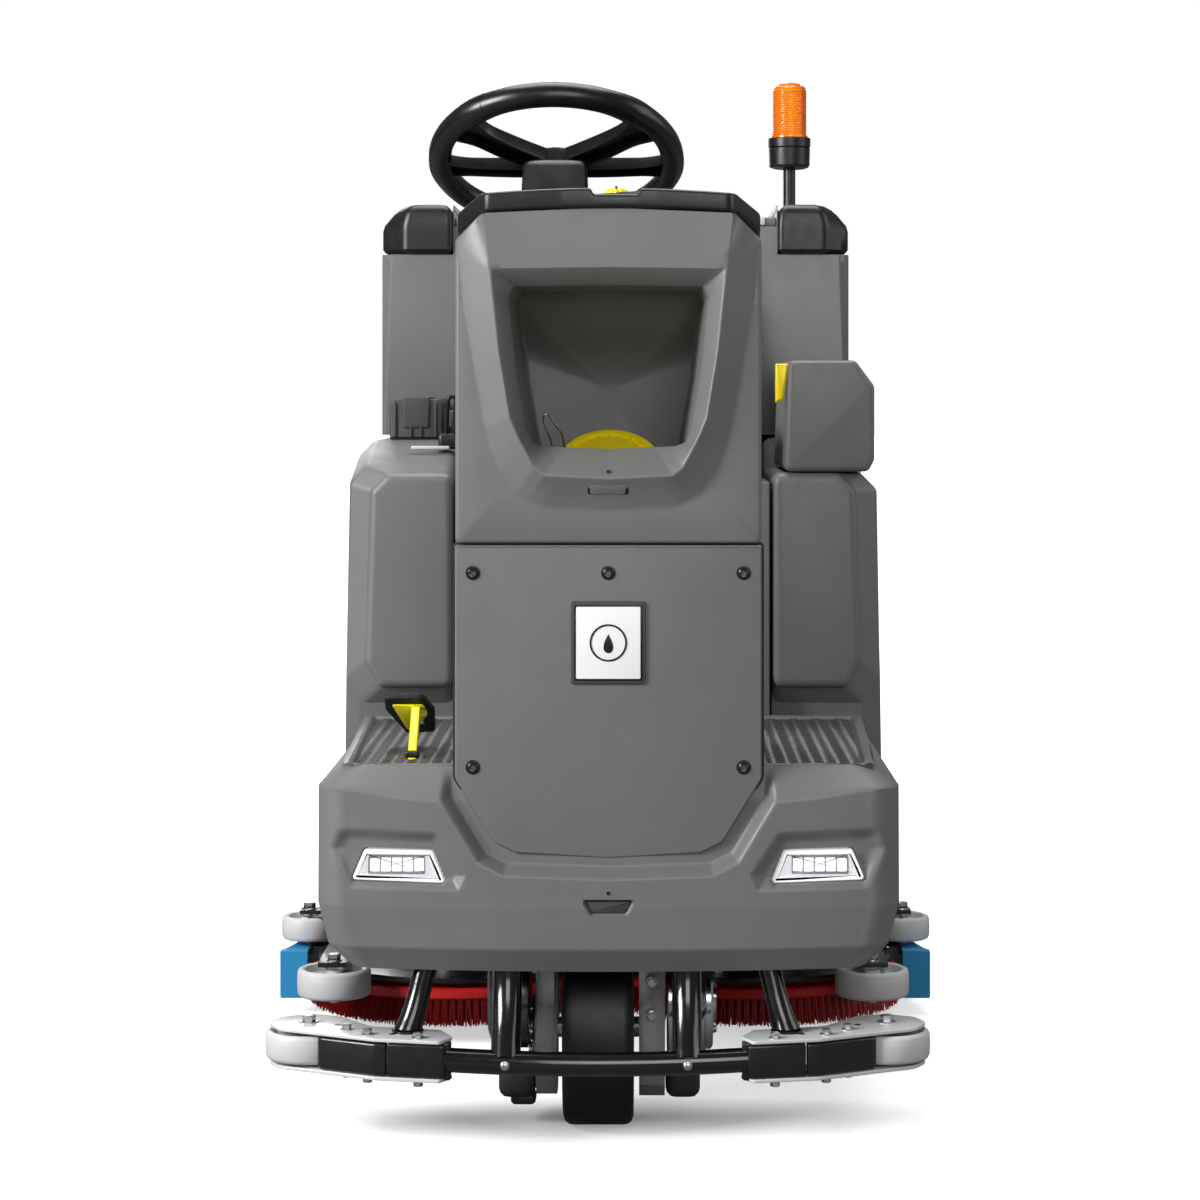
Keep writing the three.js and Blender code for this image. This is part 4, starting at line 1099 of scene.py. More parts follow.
WHEEL_HUB = (-64, -525, 1331)
WHEEL_TILT = np.radians(28)
SPOKES = ((216, 1.0), (324, 1.0), (176, 0.62), (4, 0.62))     # angle in degrees and share of full width
RIM_SEAMS = (236, 168, 304, 12)                               # degrees round the rim


def wheel_plane(made):
    """A piece drawn about the wheel's axis, tilted back and moved to the steering hub."""
    v, f = tilted(made, -WHEEL_TILT, (0, 0, 0))
    return v + WHEEL_HUB, f


def spun(made, angle):
    """A piece turned about Z by an angle in radians."""
    v, f = made
    c, s = np.cos(angle), np.sin(angle)
    return np.stack([c * v[:, 0] - s * v[:, 1], s * v[:, 0] + c * v[:, 1], v[:, 2]], 1), f


def make_steering():
    """Steering wheel, its shroud, the driver's console, the program selector and the stop button."""
    make_wheel()
    make_shroud()
    make_console()
    make_selector()
    make_stop_button()


def make_wheel():
    """Steering wheel: a circle swept round the hub that swells near the spokes, four channel-shaped
    bars whose half width grows towards the rim, a turned hub and thin seam beads round the grip."""
    a = np.linspace(0, 2 * np.pi, 160, endpoint=False)
    b = np.linspace(0, 2 * np.pi, 28, endpoint=False)
    spokes = np.radians((200, 340))
    near = np.min(np.abs((a[:, None] - spokes[None] + np.pi) % (2 * np.pi) - np.pi), axis=1)
    radius = 1000 * settings().rim_radius
    swell = 1000 * settings().rim_thickness + 1.6 * np.exp(-((near - 0.5) / 0.16) ** 2)
    across = radius + (swell[:, None] - 0.4) * np.cos(b)
    rim = np.stack([across * np.cos(a)[:, None], across * np.sin(a)[:, None],
                    1.06 * swell[:, None] * np.sin(b) + 0 * across], -1)
    p = Parts()
    p.add(*wheel_plane(skin(rim, "loop")))
    for angle, wide in SPOKES:
        u = np.linspace(0, 1, 24)
        half = wide * (19 + 12 * np.exp(-((u - 1) / 0.16) ** 2))
        r = 26 + 132 * u
        top = -12 + 8 * u ** 2
        deep = 22 - 6 * u
        section = [(-1.0, 0.0), (-0.93, 1.0), (0.93, 1.0), (1.0, 0.0), (0.94, -1.0), (0.80, -1.0),
                   (0.76, 0.25), (-0.76, 0.25), (-0.80, -1.0), (-0.94, -1.0)]
        rings = np.stack([np.stack([r, half * w, top + deep * h * 0.5], -1) for w, h in section], 1)
        p.add(*wheel_plane(spun(skin(rings), np.radians(angle))))
    hub = [(0, 4), (28, 3), (35, -2), (36, -8), (36, -24), (0, -24.5)]
    p.add(*wheel_plane(revolve(hub, (0, 0, 0), "z", 48)))
    for angle in RIM_SEAMS:
        c, s = np.cos(np.radians(angle)), np.sin(np.radians(angle))
        t = np.linspace(0, 2 * np.pi, 32, endpoint=False)
        middle = np.array((radius * c, radius * s, 0))
        ring = np.stack([17.9 * np.cos(t) * c, 17.9 * np.cos(t) * s, 18.6 * np.sin(t)], 1)
        along = np.array((-s, c, 0))
        bead = [middle + ring * grow + along * k
                for k, grow in ((-0.5, 1), (-0.5, 1.015), (0.5, 1.015), (0.5, 1))]
        p.add(*wheel_plane(skin(bead, "loop")))
    w = p.make("steering_wheel_rim", grip_black(), "steering_wheel", "soft_black", 42)
    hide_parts("steering_wheel")
    badge = Parts()
    badge.add(*wheel_plane(revolve([(0, 6), (24, 5.4), (27, 3), (27, 0), (0, 0)], (0, 0, 0), "z", 40)))
    badge.make("wheel_hub_cap", black_plastic(), "steering_wheel", "soft_black")


def make_shroud():
    """Block-shaped shroud in front of the hub, lofted along the column's axis."""
    shroud = Parts()
    rings = []
    for z, hx, hy, r in ((-250, 54, 50, 8), (-150, 49, 50, 8), (-40, 46, 50, 8), (-32, 44.5, 49, 8),
                         (-27.5, 41, 45, 8), (-26, 36, 40, 8)):
        corners = [(-hx, -hy + 4), (hx, -hy + 4), (hx, hy + 4), (-hx, hy + 4)]
        rings.append(place(round_corners(corners, r, 7), "z", z))
    shroud.add(*wheel_plane(skin(rings)))
    s = shroud.make("steering_column_shroud", black_plastic(), slot="black_plastic")
    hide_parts("steering_shroud")


def make_console():
    """Driver's console with a glass display and a row of buttons, on the slope of the column's top."""
    cad_copy("console_panel", "console_moulding", cap_plastic(), 4, 3)
    dash = Parts()
    lift = 1254.9    # mm, the console's face at the column's front plane

    def on_dash(x0, x1, y0, y1, h, k, edge=1.5):
        v, f = slab(rect(x0, x1, y0, y1, 4, 5), "z", 0, h, edge)
        v = v.copy()
        v[:, 2] += lift - DASH_SLOPE * (v[:, 1] - FRONT)
        dash.add(v + (BODY_X, 0, 0), f, k)

    on_dash(60, 160, -620, -575, 3, 0)
    on_dash(66, 154, -614, -581, 3.6, 1, 0.4)
    for k in range(4):
        on_dash(-170 + 26 * k, -150 + 26 * k, -700, -682, 3.5, 2)
    on_dash(40, 66, -700, -670, 4, 2)
    screen = coated("screen_glass", srgb(24, 34, 38), 0.08, 1.0, 0.00001)
    dash.make("console_display", [black_plastic(), screen, dark_plastic()], slot="black_plastic")


def make_selector():
    """Yellow program selector: a turned knob with twelve cosine flutes and a black pointer."""
    knob = Parts()
    a = np.linspace(0, 2 * np.pi, 96, endpoint=False)
    flute = 1 + 0.05 * np.cos(12 * a)
    prof = ((7, 1210), (7, 1246), (15.4, 1246.5), (16, 1249), (15.6, 1259), (14.2, 1264), (10, 1267),
            (4, 1268), (0.1, 1268.2))
    rings = [np.stack([r * (flute if 12 < r else 1) * np.cos(a) + 10 + BODY_X,
                       r * (flute if 12 < r else 1) * np.sin(a) - 850, z + 0 * a], -1) for r, z in prof]
    knob.add(*skin(rings))
    knob.add(*block(8.4 + BODY_X, 11.6 + BODY_X, -864, -852, 1266, 1269.4, 0.8), 1)
    k = knob.make("program_selector", [yellow_plastic(), black_plastic()], "selector_knob",
                  "yellow_plastic")
    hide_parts("selector_knob")


def make_stop_button():
    """Red emergency stop: a turned mushroom head."""
    stop = Parts()
    stop.add(*revolve([(0, 1100), (8, 1100), (8, 1170), (18.6, 1170.4), (20, 1172), (20, 1180),
                       (18, 1184.6), (13, 1188.4), (7, 1190.4), (0, 1191)], (110 + BODY_X, -640, 0), "z",
                      48))
    st = stop.make("emergency_stop_button", moulded("stop_red", srgb(196, 22, 24), 0.28, 900.0, 0.00002,
                                                    coat=0.3), "emergency_stop", "red_plastic")
    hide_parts("emergency_stop")


FILL_AT = (BODY_X, -785, 895)
FILL_TILT = np.radians(40)


def make_filler():
    """Yellow filler lid with a raised middle and grip ribs, its neck and its wire bail."""
    p = Parts()

    def lay(made, k=0):
        v, f = tilted(made, FILL_TILT, (0, 0, 0))
        p.add(v + FILL_AT, f, k)

    lay(revolve([(0, -6), (62, -6), (68.6, -4), (70, -1), (70, 6.5), (69, 8.6), (66, 9.6), (61.5, 9.0),
                 (60, 6.5), (54, 6.2), (52, 8), (50.5, 11.6), (48, 12.6), (20, 13.6), (0, 13.8)],
                (0, 0, 0), "z", 96))
    for a in np.linspace(0, 2 * np.pi, 24, endpoint=False):
        lay(spun(block(54.5, 60.5, -1.4, 1.4, 5, 8.6, 0.7), a))
    lid = p.make("filler_lid", yellow_plastic(), "fill_lid", "yellow_plastic", 30)
    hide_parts("fill_lid")
    neck = Parts()
    collar = [(57, -60), (66, -60), (66, -9), (64, -7.2), (57, -7.2)]
    v, f = tilted(revolve(collar, (0, 0, 0), "z", 64, closed=True), FILL_TILT, (0, 0, 0))
    neck.add(v + FILL_AT, f)
    neck.make("filler_neck", dark_plastic(), slot="dark_plastic")
    wire = curve_through([(-50, -818, 884), (-55, -822, 905), (-64, -830, 938), (-72, -836, 960),
                          (-69.5, -838, 967), (-64, -836, 966.5), (-54, -832, 951), (-47.5, -828, 941),
                          (-43, -822, 915), (-40, -816, 888)], 70)
    bail = Parts()
    bail.add(*tube(wire, 1.5, 10))
    b = bail.make("filler_bail_wire", chrome(), "fill_bail", "bright_steel", 60)
    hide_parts("fill_bail")


def cushion(x_half, y0, y1, z0, z1, crown, channels, body, name, upright=False):
    """A crowned closed form: a superellipse in plan whose height falls off towards its rim, its sides
    pulled in between the corners, with sewn channels pressed in across it."""
    rows, cols = 72, 144
    v = np.linspace(-np.pi / 2, np.pi / 2, rows)[:, None]
    u = np.linspace(0, 2 * np.pi, cols, endpoint=False)[None, :]

    def power(w, e):
        return np.sign(w) * np.abs(w) ** e

    belly = power(np.cos(v), 0.32)
    x = x_half * belly * power(np.cos(u), 0.36)
    y = 0.5 * (y1 - y0) * belly * power(np.sin(u), 0.36)
    pinch = 1 - 0.018 * np.cos(np.pi * x / x_half / 1.2)
    y = y * pinch
    x = x * (1 - 0.015 * np.cos(np.pi * y / (y1 - y0) * 1.6))
    z = 0.5 * (z1 - z0) * power(np.sin(v), 0.5) + 0 * u
    lift = np.clip(1 - (x / x_half) ** 2, 0, 1) * np.clip(1 - (2 * y / (y1 - y0)) ** 2, 0, 1)
    up = (v > 0) * np.ones_like(u)
    z = z + up * crown * (lift - 0.35)
    for c in channels:
        z = z - up * 7 * np.exp(-((y - c) / 4.5) ** 2) * (np.abs(x) < 0.8 * x_half)
    for c in (-0.66, 0.66):
        z = z - up * 6 * np.exp(-((x - c * x_half) / 4.5) ** 2)
    z = z + 0.8 * np.sin(x / 17.0 + np.sin(y / 23.0) * 2) * up * (1 - lift)
    middle = np.array((BODY_X, 0.5 * (y0 + y1), 0.5 * (z0 + z1)))
    rings = np.stack([x, y, z], -1)
    p = Parts()
    made = skin(rings)
    seam = np.stack([x[rows // 2] * 1.004, y[rows // 2] * 1.004, 0 * x[rows // 2] + 2], -1)
    seam = np.vstack([seam, seam[:2]])
    piping = tube(seam, 3.2, 10)
    if upright:
        def stand(m):
            v = m[0]
            lean = np.radians(80)
            c, s = np.cos(lean), np.sin(lean)
            return np.stack([v[:, 0], c * v[:, 1] - s * v[:, 2], s * v[:, 1] + c * v[:, 2]], 1), m[1]
        made, piping = stand(made), stand(piping)
    p.add(made[0] + middle, made[1])
    p.add(piping[0] + middle, piping[1], 1)
    obj = p.make(name, [vinyl(), vinyl("seat_piping")], body, "seat_vinyl", 60)
    return obj


def make_seat():
    """Seat cushion and backrest with sewn channels and piping, on a black shell."""
    c = cushion(224, -262, 28, 884, 962, 15, (-70, 0, 70), "seat", "seat_cushion_pad")
    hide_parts("seat_cushion")
    b = cushion(212, -120, 278, 1004, 1076, 14, (-40, 30, 100), "seat", "seat_back_pad", upright=True)
    b.data.transform(Matrix.Translation((0, 0.018, 0.035)))
    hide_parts("seat_back")
    shell = Parts()
    shell.add(*block(-196 + BODY_X, 196 + BODY_X, -236, 34, 878.5, 892, 4))
    shell.add(*block(-150 + BODY_X, 150 + BODY_X, 28, 62, 880, 960, 5))
    shell.make("seat_shell", black_plastic(), "seat", "seat_vinyl")


BEACON_AT = (309 + BODY_X, 575, 0)


def make_beacon():
    """Beacon: a turned mast and collar with three foot bolts, and an amber lens ribbed by an absolute
    sine."""
    at = BEACON_AT
    mast = Parts()
    mast.add(*revolve([(0, 1305.4), (30, 1305.4), (31, 1307), (31, 1311), (29, 1313), (14, 1314),
                       (11, 1317), (11, 1396), (26, 1397.5), (34, 1400), (36.5, 1404), (37.4, 1434),
                       (36, 1436), (38, 1437), (38.2, 1452), (37, 1453), (0, 1453)], at, "z", 56))
    for a in np.radians((250, 10, 130)):
        c, s = np.cos(a), np.sin(a)
        mast.add(*hex_bolt((at[0] + 22 * c, at[1] + 22 * s, 1311), "z", 7, 3, 5))
    m = mast.make("beacon_pole", black_plastic(), slot="black_plastic", smooth=30)
    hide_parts("beacon_mast")
    z = np.linspace(1454, 1538, 169)
    rib = 30.0 + 0.9 * np.abs(np.sin(np.pi * (z - 1454) / 4.2))
    profile = [(0, 1453.6), (33, 1453.6), (33, 1457)] + list(zip(rib[8:], z[8:])) + [
        (29.5, 1541), (27.5, 1545), (20, 1547), (19, 1550), (12, 1551.6), (0, 1552)]
    lens = Parts()
    lens.add(*revolve(profile, at, "z", 72))
    l = lens.make("beacon_amber_lens", amber_lens(), slot="amber_lens", smooth=50)
    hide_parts("beacon_lens")


def amber_lens():
    """Amber plastic, redder at grazing angles, with a faint glow."""
    amber = Nodes("amber_lens")
    edge = amber.new("LayerWeight", Blend=0.42).outputs["Facing"]
    tone = amber.mix(edge, srgb(255, 150, 20), srgb(205, 52, 10))
    amber.into("Base Color", tone)
    amber.into("Roughness", 0.12)
    amber.into("Transmission Weight", 0.35)
    amber.into("Emission Color", srgb(255, 96, 0))
    amber.into("Emission Strength", 0.05)
    amber.into("Normal", amber.bump(amber.noise(60.0, 1.0), 0.00002))
    return amber.material


ROLLERS = (                                   # name, x, y, radius, bottom, top, depth of the dish
    ("bumper_roller", 385, -825, 58, 111.5, 149, 0),
    ("deck_roller", 408, -272, 56, 82, 124, 7),
    ("side_roller", 481, 50, 45, 110, 148, 5),
)


def roller_shape(side, x, y, radius, low, high, dish=0.0):
    """A turned roller: rounded tyre, dished top and bottom faces and a raised hub."""
    r, d = radius, dish
    profile = [(0, low + 3), (12, low + 3), (13, low + 5 + d), (r - 15, low + 5 + d),
               (r - 11, low + 1.5), (r - 6, low), (r - 2.6, low + 1.6), (r - 0.6, low + 5.5),
               (r, 0.5 * (low + high)), (r - 0.6, high - 5.5), (r - 2.6, high - 1.6), (r - 6, high),
               (r - 11, high - 1.5), (r - 15, high - 5 - d), (13, high - 5 - d), (12, high - 3),
               (0, high - 3)]
    return revolve(profile, (side * x, y, 0), "z", 72)


def make_rollers():
    """Bumper, deck and side rollers, a pair of each."""
    for side, hand in SIDES:
        for base, x, y, r, low, high, dish in ROLLERS:
            p = Parts()
            p.add(*roller_shape(side, x, y, r, low, high, dish))
            obj = p.make(base + "_tyre_" + hand, roller_grey(), base + "_" + hand, "roller_plastic", 40)
            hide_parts(base + "_" + hand)


POST_X = 118.0        # mm from the middle to each upright post
POST_RADIUS = 19.5    # mm


def make_bumper():
    """Bumper: plates with bolts, coloured pale as a painted reflection of the studio on them, black
    two-part arms, glossy struts, clevises and bowed tube.
    """
    for side, hand in SIDES:
        def own(made):
            return for_side(made, side)

        plan = round_corners([(188, -916), (203, -945), (290, -927), (371, -886), (420, -862),
                              (440, -825), (425, -788), (385, -771), (348, -786), (300, -850),
                              (205, -874)], (4, 6, 30, 30, 30, 34, 30, 34, 30, 30, 6), 7)
        p = Parts()
        p.add(*own(slab(plan, "z", 152.6, 157.4, 1.2)), 0)
        p.add(*own(slab(plan, "z", 102.6, 107.6, 1.2)), 0)
        for x, y in ((385, -825), (300, -902), (232, -925), (330, -872)):
            big = x == 385
            p.add(*own(hex_bolt((x, y, 157), "z", 16 if big else 11, 8 if big else 6,
                                13 if big else 8.5)), 1)
            p.add(*own(hex_bolt((x, y, 103), "z", 15 if big else 11, 7 if big else 6, 12 if big else 8,
                                up=-1)), 1)
        for x, y in ((345, -842), (268, -900)):
            p.add(*own(revolve([(0, -0.3), (4.6, -0.3), (4.6, 0.35), (0, 0.35)], (x, y, 157.4), "z",
                               20)), 2)
        p.add(*own(revolve([(0, 104), (7, 104), (7, 156), (0, 156)], (385, -825, 0), "z", 24)), 1)
        # The plates' pale colour is a painted reflection of the studio's white.
        o = p.make("bumper_plates_" + hand, [moulded("plate_painted_reflection", tuple(settings().plate_colour), 0.3,
                                                     300.0, 0.00001, coat=0.4, scuff=0.02),
                                             bright_steel(), black_plastic()], slot="bright_steel",
                   smooth=35)
        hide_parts("bumper_bracket_" + hand)
        q = Parts()
        inner = round_corners([(196, -946), (272, -931.5), (272, -899), (196, -913)], (6, 2, 2, 6), 4)
        outer = round_corners([(274, -931), (290, -927.5), (371, -886.5), (352, -868), (290, -892),
                               (274, -898)], (2, 12, 8, 4, 12, 2), 5)
        q.add(*own(slab(inner, "z", 108, 152, 4, 4)), 0)
        q.add(*own(slab(outer, "z", 108.8, 151.2, 4, 4)), 0)
        q.add(*own(block(189, 204, -936, -917, 104, 154, 3)), 0)
        a = q.make("bumper_box_arm_" + hand, frame_black(), slot="black_steel", smooth=35)
        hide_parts("bumper_arm_" + hand)
        t = Parts()
        strut = curve_through([(249, -884, 156), (238, -874, 192), (226, -864, 240), (210, -856, 290),
                               (199, -850, 330)], 30)
        v, f = tube(strut, np.interp(np.linspace(0, 1, 30), (0, 0.12, 0.3, 1), (19, 16, 15, 15)), 28)
        t.add(*own((v, f)))
        t.add(*own(revolve([(0, 157), (21, 157), (21, 160), (17, 163), (0, 163)], (249, -884, 0), "z",
                           32)))
        t.make("bumper_strut_" + hand, gloss_black(), slot="black_steel", smooth=50)
    tube_parts = Parts()
    u = np.linspace(-1, 1, 61)
    bend = np.stack([203 * u, -941 + 15 * u ** 2, 127 + 3 * u ** 2 + 0 * u], 1)
    tube_parts.add(*tube(bend, 1000 * settings().bumper_bow, 32))
    for s in (-1, 1):
        post = curve_through([(s * POST_X, -936, 128), (s * POST_X, -905, 170), (s * POST_X, -884, 215),
                              (s * POST_X, -876, 270), (s * POST_X, -872, 330)], 30)
        tube_parts.add(*tube(post, POST_RADIUS, 32))
        tube_parts.add(*hex_bolt((s * POST_X, -957.5 + 3, 128), "y", 9, 3, 6, up=-1), 1)
    o = tube_parts.make("bumper_bow", [gloss_black(), bright_steel()], slot="black_steel", smooth=50)
    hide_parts("bumper_tube")


def tuft_ring(cx, cy, radius, count, low, high, seed, lean=3.5):
    """Bristle tufts at equal steps round a ring: each is seven three-sided tapering strands, splayed
    outwards."""
    rng = np.random.default_rng(seed)
    a = np.linspace(0, 2 * np.pi, count, endpoint=False)
    k = np.arange(7)
    sx = np.where(k == 0, 0, 3.0 * np.cos(k * np.pi / 3))
    sy = np.where(k == 0, 0, 3.0 * np.sin(k * np.pi / 3))
    root = np.stack([radius * np.cos(a)[:, None] + sx, radius * np.sin(a)[:, None] + sy], -1)
    out = np.stack([np.cos(a), np.sin(a)], -1)[:, None, :]
    tip = root + out * lean + 0.75 * np.stack([sx, sy], -1) + rng.normal(0, 0.7, root.shape)
    tip_z = low + rng.uniform(-1.2, 1.6, root.shape[:2])
    root, tip, tip_z = root.reshape(-1, 2), tip.reshape(-1, 2), tip_z.reshape(-1)
    b = np.radians((0, 120, 240))
    ring = np.stack([np.cos(b), np.sin(b)], -1)
    top = np.concatenate([root[:, None] + 1.7 * ring, np.full((len(root), 3, 1), high)], -1)
    end = np.concatenate([tip[:, None] + 1.15 * ring, np.broadcast_to(tip_z[:, None, None],
            (len(tip), 3, 1))], -1)
    v = np.concatenate([top, end], 1).reshape(-1, 3) + (cx, cy, 0)
    base = (np.arange(len(root)) * 6)[:, None]
    quads = np.array([(0, 3, 4, 1), (1, 4, 5, 2), (2, 5, 3, 0)])
    f = (base[:, None] + quads[None]).reshape(-1, 4).tolist()
    f += (base + np.array([0, 1, 2])).tolist() + (base + np.array([5, 4, 3])).tolist()
    return v, f


BRUSH_X, BRUSH_Y = 236.0, -25.0
BRISTLE_TOP = 72.0                       # mm, the underside of the brush plates
TUFT_RINGS = ((222, 118), (210, 112), (196, 104), (180, 90), (160, 78))   # radius and number of tufts


def make_brushes():
    """Disc brushes, the deck that carries them, its bolts and brackets, and the blue side lips."""
    make_discs()
    make_brush_deck()
    make_side_lips()


def make_discs():
    """Disc brushes: a turned plate with a rim and five rings of red bristle tufts."""
    for side, hand in SIDES:
        cx, cy = side * BRUSH_X, BRUSH_Y
        p = Parts()
        p.add(*revolve([(0, 74), (150, 74), (152, 70), (226, 70), (229, 73), (229, 82), (226, 84),
                        (200, 86), (196, 90), (0, 90)], (cx, cy, 0), "z", 96), 0)
        for k, (radius, count) in enumerate(TUFT_RINGS):
            tip = BRISTLE_TOP - 1000 * settings().bristle_length
            p.add(*tuft_ring(cx, cy, radius, count, tip, BRISTLE_TOP, 10 * side + k + 20, 5.5 - k), 1)
        deep = moulded("bristle_deep", srgb(150, 20, 22), 0.5, 300.0, 0.00004, scuff=0.3)
        o = p.make("disc_brush_" + hand, [bristle_red(), deep], "brush_" + hand, "red_bristle", 30)
        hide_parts("brush_" + hand)


def make_brush_deck():
    """Welded deck with the rollers' bolts and collars, the gearbox bolts and the side brackets."""
    cad_copy("brush_deck", "brush_deck_weldment", frame_black(), 1.6, 3)
    bolts = Parts()
    for side in (-1, 1):
        for x, y, top, low in ((408, -272, 128, 78), (481, 50, 152, 106)):
            bolts.add(*hex_bolt((side * x, y, top + (6 if x == 408 else 5)), "z", 17, 9, 12))
            bolts.add(*revolve([(0, top - 5), (15, top - 5), (15, top - 1), (9, top), (9, top + 5),
                                (0, top + 5)], (side * x, y, 0), "z", 28))
            bolts.add(*hex_bolt((side * x, y, low + 1), "z", 14, 6, 11, up=-1))
        bolts.add(*hex_bolt((side * BRUSH_X, BRUSH_Y, 240), "z", 24, 10, 17))
        for a in np.radians((30, 90, 150, 210, 270, 330)):
            at = (side * BRUSH_X + 120 * np.cos(a), BRUSH_Y + 120 * np.sin(a), 102)
            bolts.add(*hex_bolt(at, "z", 12, 6, 9))
        bolts.add(*block(side * 452.5 - 9, side * 452.5 + 9, 66, 84, 104, 128, 4))
    bolts.make("brush_deck_bolts", bright_steel(), "brush_deck", "bright_steel", 30)
    hooks = Parts()
    for side in (-1, 1):
        hooks.add(*for_side(block(472, 480, 14, 22, 90, 150, 2), side))
        hooks.add(*for_side(block(440, 480, 14, 22, 142, 150, 2), side))
    hooks.make("brush_deck_hooks", frame_black(), "brush_deck", "black_steel", 40)


def make_side_lips():
    """Blue side lips: the outer edge follows the deck in plan, with a slot every 19.1 mm in the upper
    half."""
    for side, hand in SIDES:
        y = np.linspace(-25, 262, 116)
        outer = np.interp(y, (-25, -8, 12, 60, 262), (520, 520, 512, 501, 497))
        slot = 2.2 * (np.abs((y + 25) % 19.1 - 9.5) < 2.4)
        lip = Parts()
        z = np.array((27, 30, 60, 60.5, 97, 101.5, 102))
        face = np.stack([np.stack([outer - slot * (zz > 58) - (1.5 if zz in (27, 102) else 0), y,
                                   0 * y + zz], -1) for zz in z], 0)
        back = np.stack([np.stack([0 * y + 476.4, y, 0 * y + zz], -1) for zz in z[::-1]], 0)
        lip.add(*for_side(skin(np.concatenate([face, back]).transpose(1, 0, 2)), side))
        o = lip.make("side_lip_blade_" + hand, blue_rubber(), "brush_deck", "blue_rubber", 30)
        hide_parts("side_lip_" + hand)


def wheel_shape(x, y, radius, half, bore, groove=True):
    """A tyre about X: round shoulders, two shallow grooves, a stepped rim, a dished disc and a bore."""
    r, h = radius, half
    g = 2.2 if groove else 0.0
    tyre = [(r * 0.66, -h + 3), (r * 0.72, -h), (r - 12, -h + 0.4), (r - 4.5, -h + 3.2),
            (r - 0.9, -h + 8.5), (r, -h + 14), (r, -h * 0.36), (r - g, -h * 0.33), (r - g, -h * 0.27),
            (r, -h * 0.24), (r, h * 0.24), (r - g, h * 0.27), (r - g, h * 0.33), (r, h * 0.36),
            (r, h - 14), (r - 0.9, h - 8.5), (r - 4.5, h - 3.2), (r - 12, h - 0.4), (r * 0.72, h),
            (r * 0.66, h - 3)]
    hub = [(bore, -h + 6), (bore + 14, -h + 6), (bore + 17, -h + 12), (r * 0.55, -h + 15),
           (r * 0.6, -h + 5), (r * 0.67, -h + 4), (r * 0.67, h - 4), (r * 0.6, h - 5),
           (r * 0.55, h - 15), (bore + 17, h - 12), (bore + 14, h - 6), (bore, h - 6)]
    return (revolve(tyre, (x, y, radius), "x", 96, closed=True),
            revolve(hub, (x, y, radius), "x", 64, closed=True))


DRIVE_Y = -725.0      # mm, the steered wheel's axle
AXLE_Z = 130.0        # mm
MOTOR_Z = 165.0       # mm, the drive motor's axis


def make_drive():
    """Drive wheel and rear wheels, chassis, steered fork with its motor drum and fittings."""
    make_wheels()
    cad_copy("chassis_frame", "chassis_weldment", frame_black(), 2.4, 3)
    fork = metal("casting_grey", srgb(190, 190, 192), 0.3, metallic=0.85)
    cad_copy("steer_fork", "steer_fork_casting", fork, 5, 3)
    make_motor_drum()
    make_drive_fittings()


def make_wheels():
    """The smooth drive tyre and the two grooved rear tyres, each with its hub and, behind, five wheel
    bolts."""
    for name, body, node, x, y, r, h, bore in (
            ("drive_tyre", "front_wheel", "front_wheel", 0, DRIVE_Y, AXLE_Z, 48, 15),
            ("rear_tyre_right", "rear_wheel_right", "rear_wheel_right", -325, 430, 150, 40, 15),
            ("rear_tyre_left", "rear_wheel_left", "rear_wheel_left", 325, 430, 150, 40, 15)):
        tyre, hub = wheel_shape(x, y, r, h, bore, groove=r > 140)
        p = Parts()
        p.add(*tyre, 0)
        p.add(*hub, 1)
        if r > 140:
            side = 1 if x > 0 else -1
            for a in np.linspace(0, 2 * np.pi, 5, endpoint=False):
                at = (x + side * (h - 14), y + 52 * np.cos(a), r + 52 * np.sin(a))
                p.add(*hex_bolt(at, "x", 13, 6, 9, up=side), 2)
        o = p.make(name, [tyre_rubber(), roller_grey(), bright_steel()], body, "tyre_rubber", 35)
        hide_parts(node)


def make_motor_drum():
    """Drive motor: a turned drum with 28 cooling ribs round it and four cover screws."""
    p = Parts()
    y, z = DRIVE_Y, MOTOR_Z
    r = 1000 * settings().drum_radius
    drum = [(0, 93), (r - 4, 93), (r, 95), (r, 106), (r - 3, 107), (r - 3, 110), (r, 111), (r, 138),
            (r - 2, 142), (66, 144), (64, 146), (64, 152), (60, 155), (24, 156), (20, 160), (0, 160)]
    p.add(*revolve(drum, (0, y, z), "x", 72), 0)
    for a in np.linspace(0, 2 * np.pi, 28, endpoint=False):
        c, s = np.cos(a), np.sin(a)
        v, f = block(114, 136, -1.1, 1.1, 76.5, 80.2, 0.6)
        v = np.stack([v[:, 0], c * v[:, 1] - s * v[:, 2], s * v[:, 1] + c * v[:, 2]], 1)
        p.add(v + (0, y, z), f, 0)
    for a in np.radians((45, 135, 225, 315)):
        p.add(*hex_bolt((155, y + 44 * np.cos(a), z + 44 * np.sin(a)), "x", 9, 3, 6), 1)
    o = p.make("drive_motor_drum", [chrome(), dull_steel()], "steer_unit", "bright_steel", 35)
    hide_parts("drive_motor")


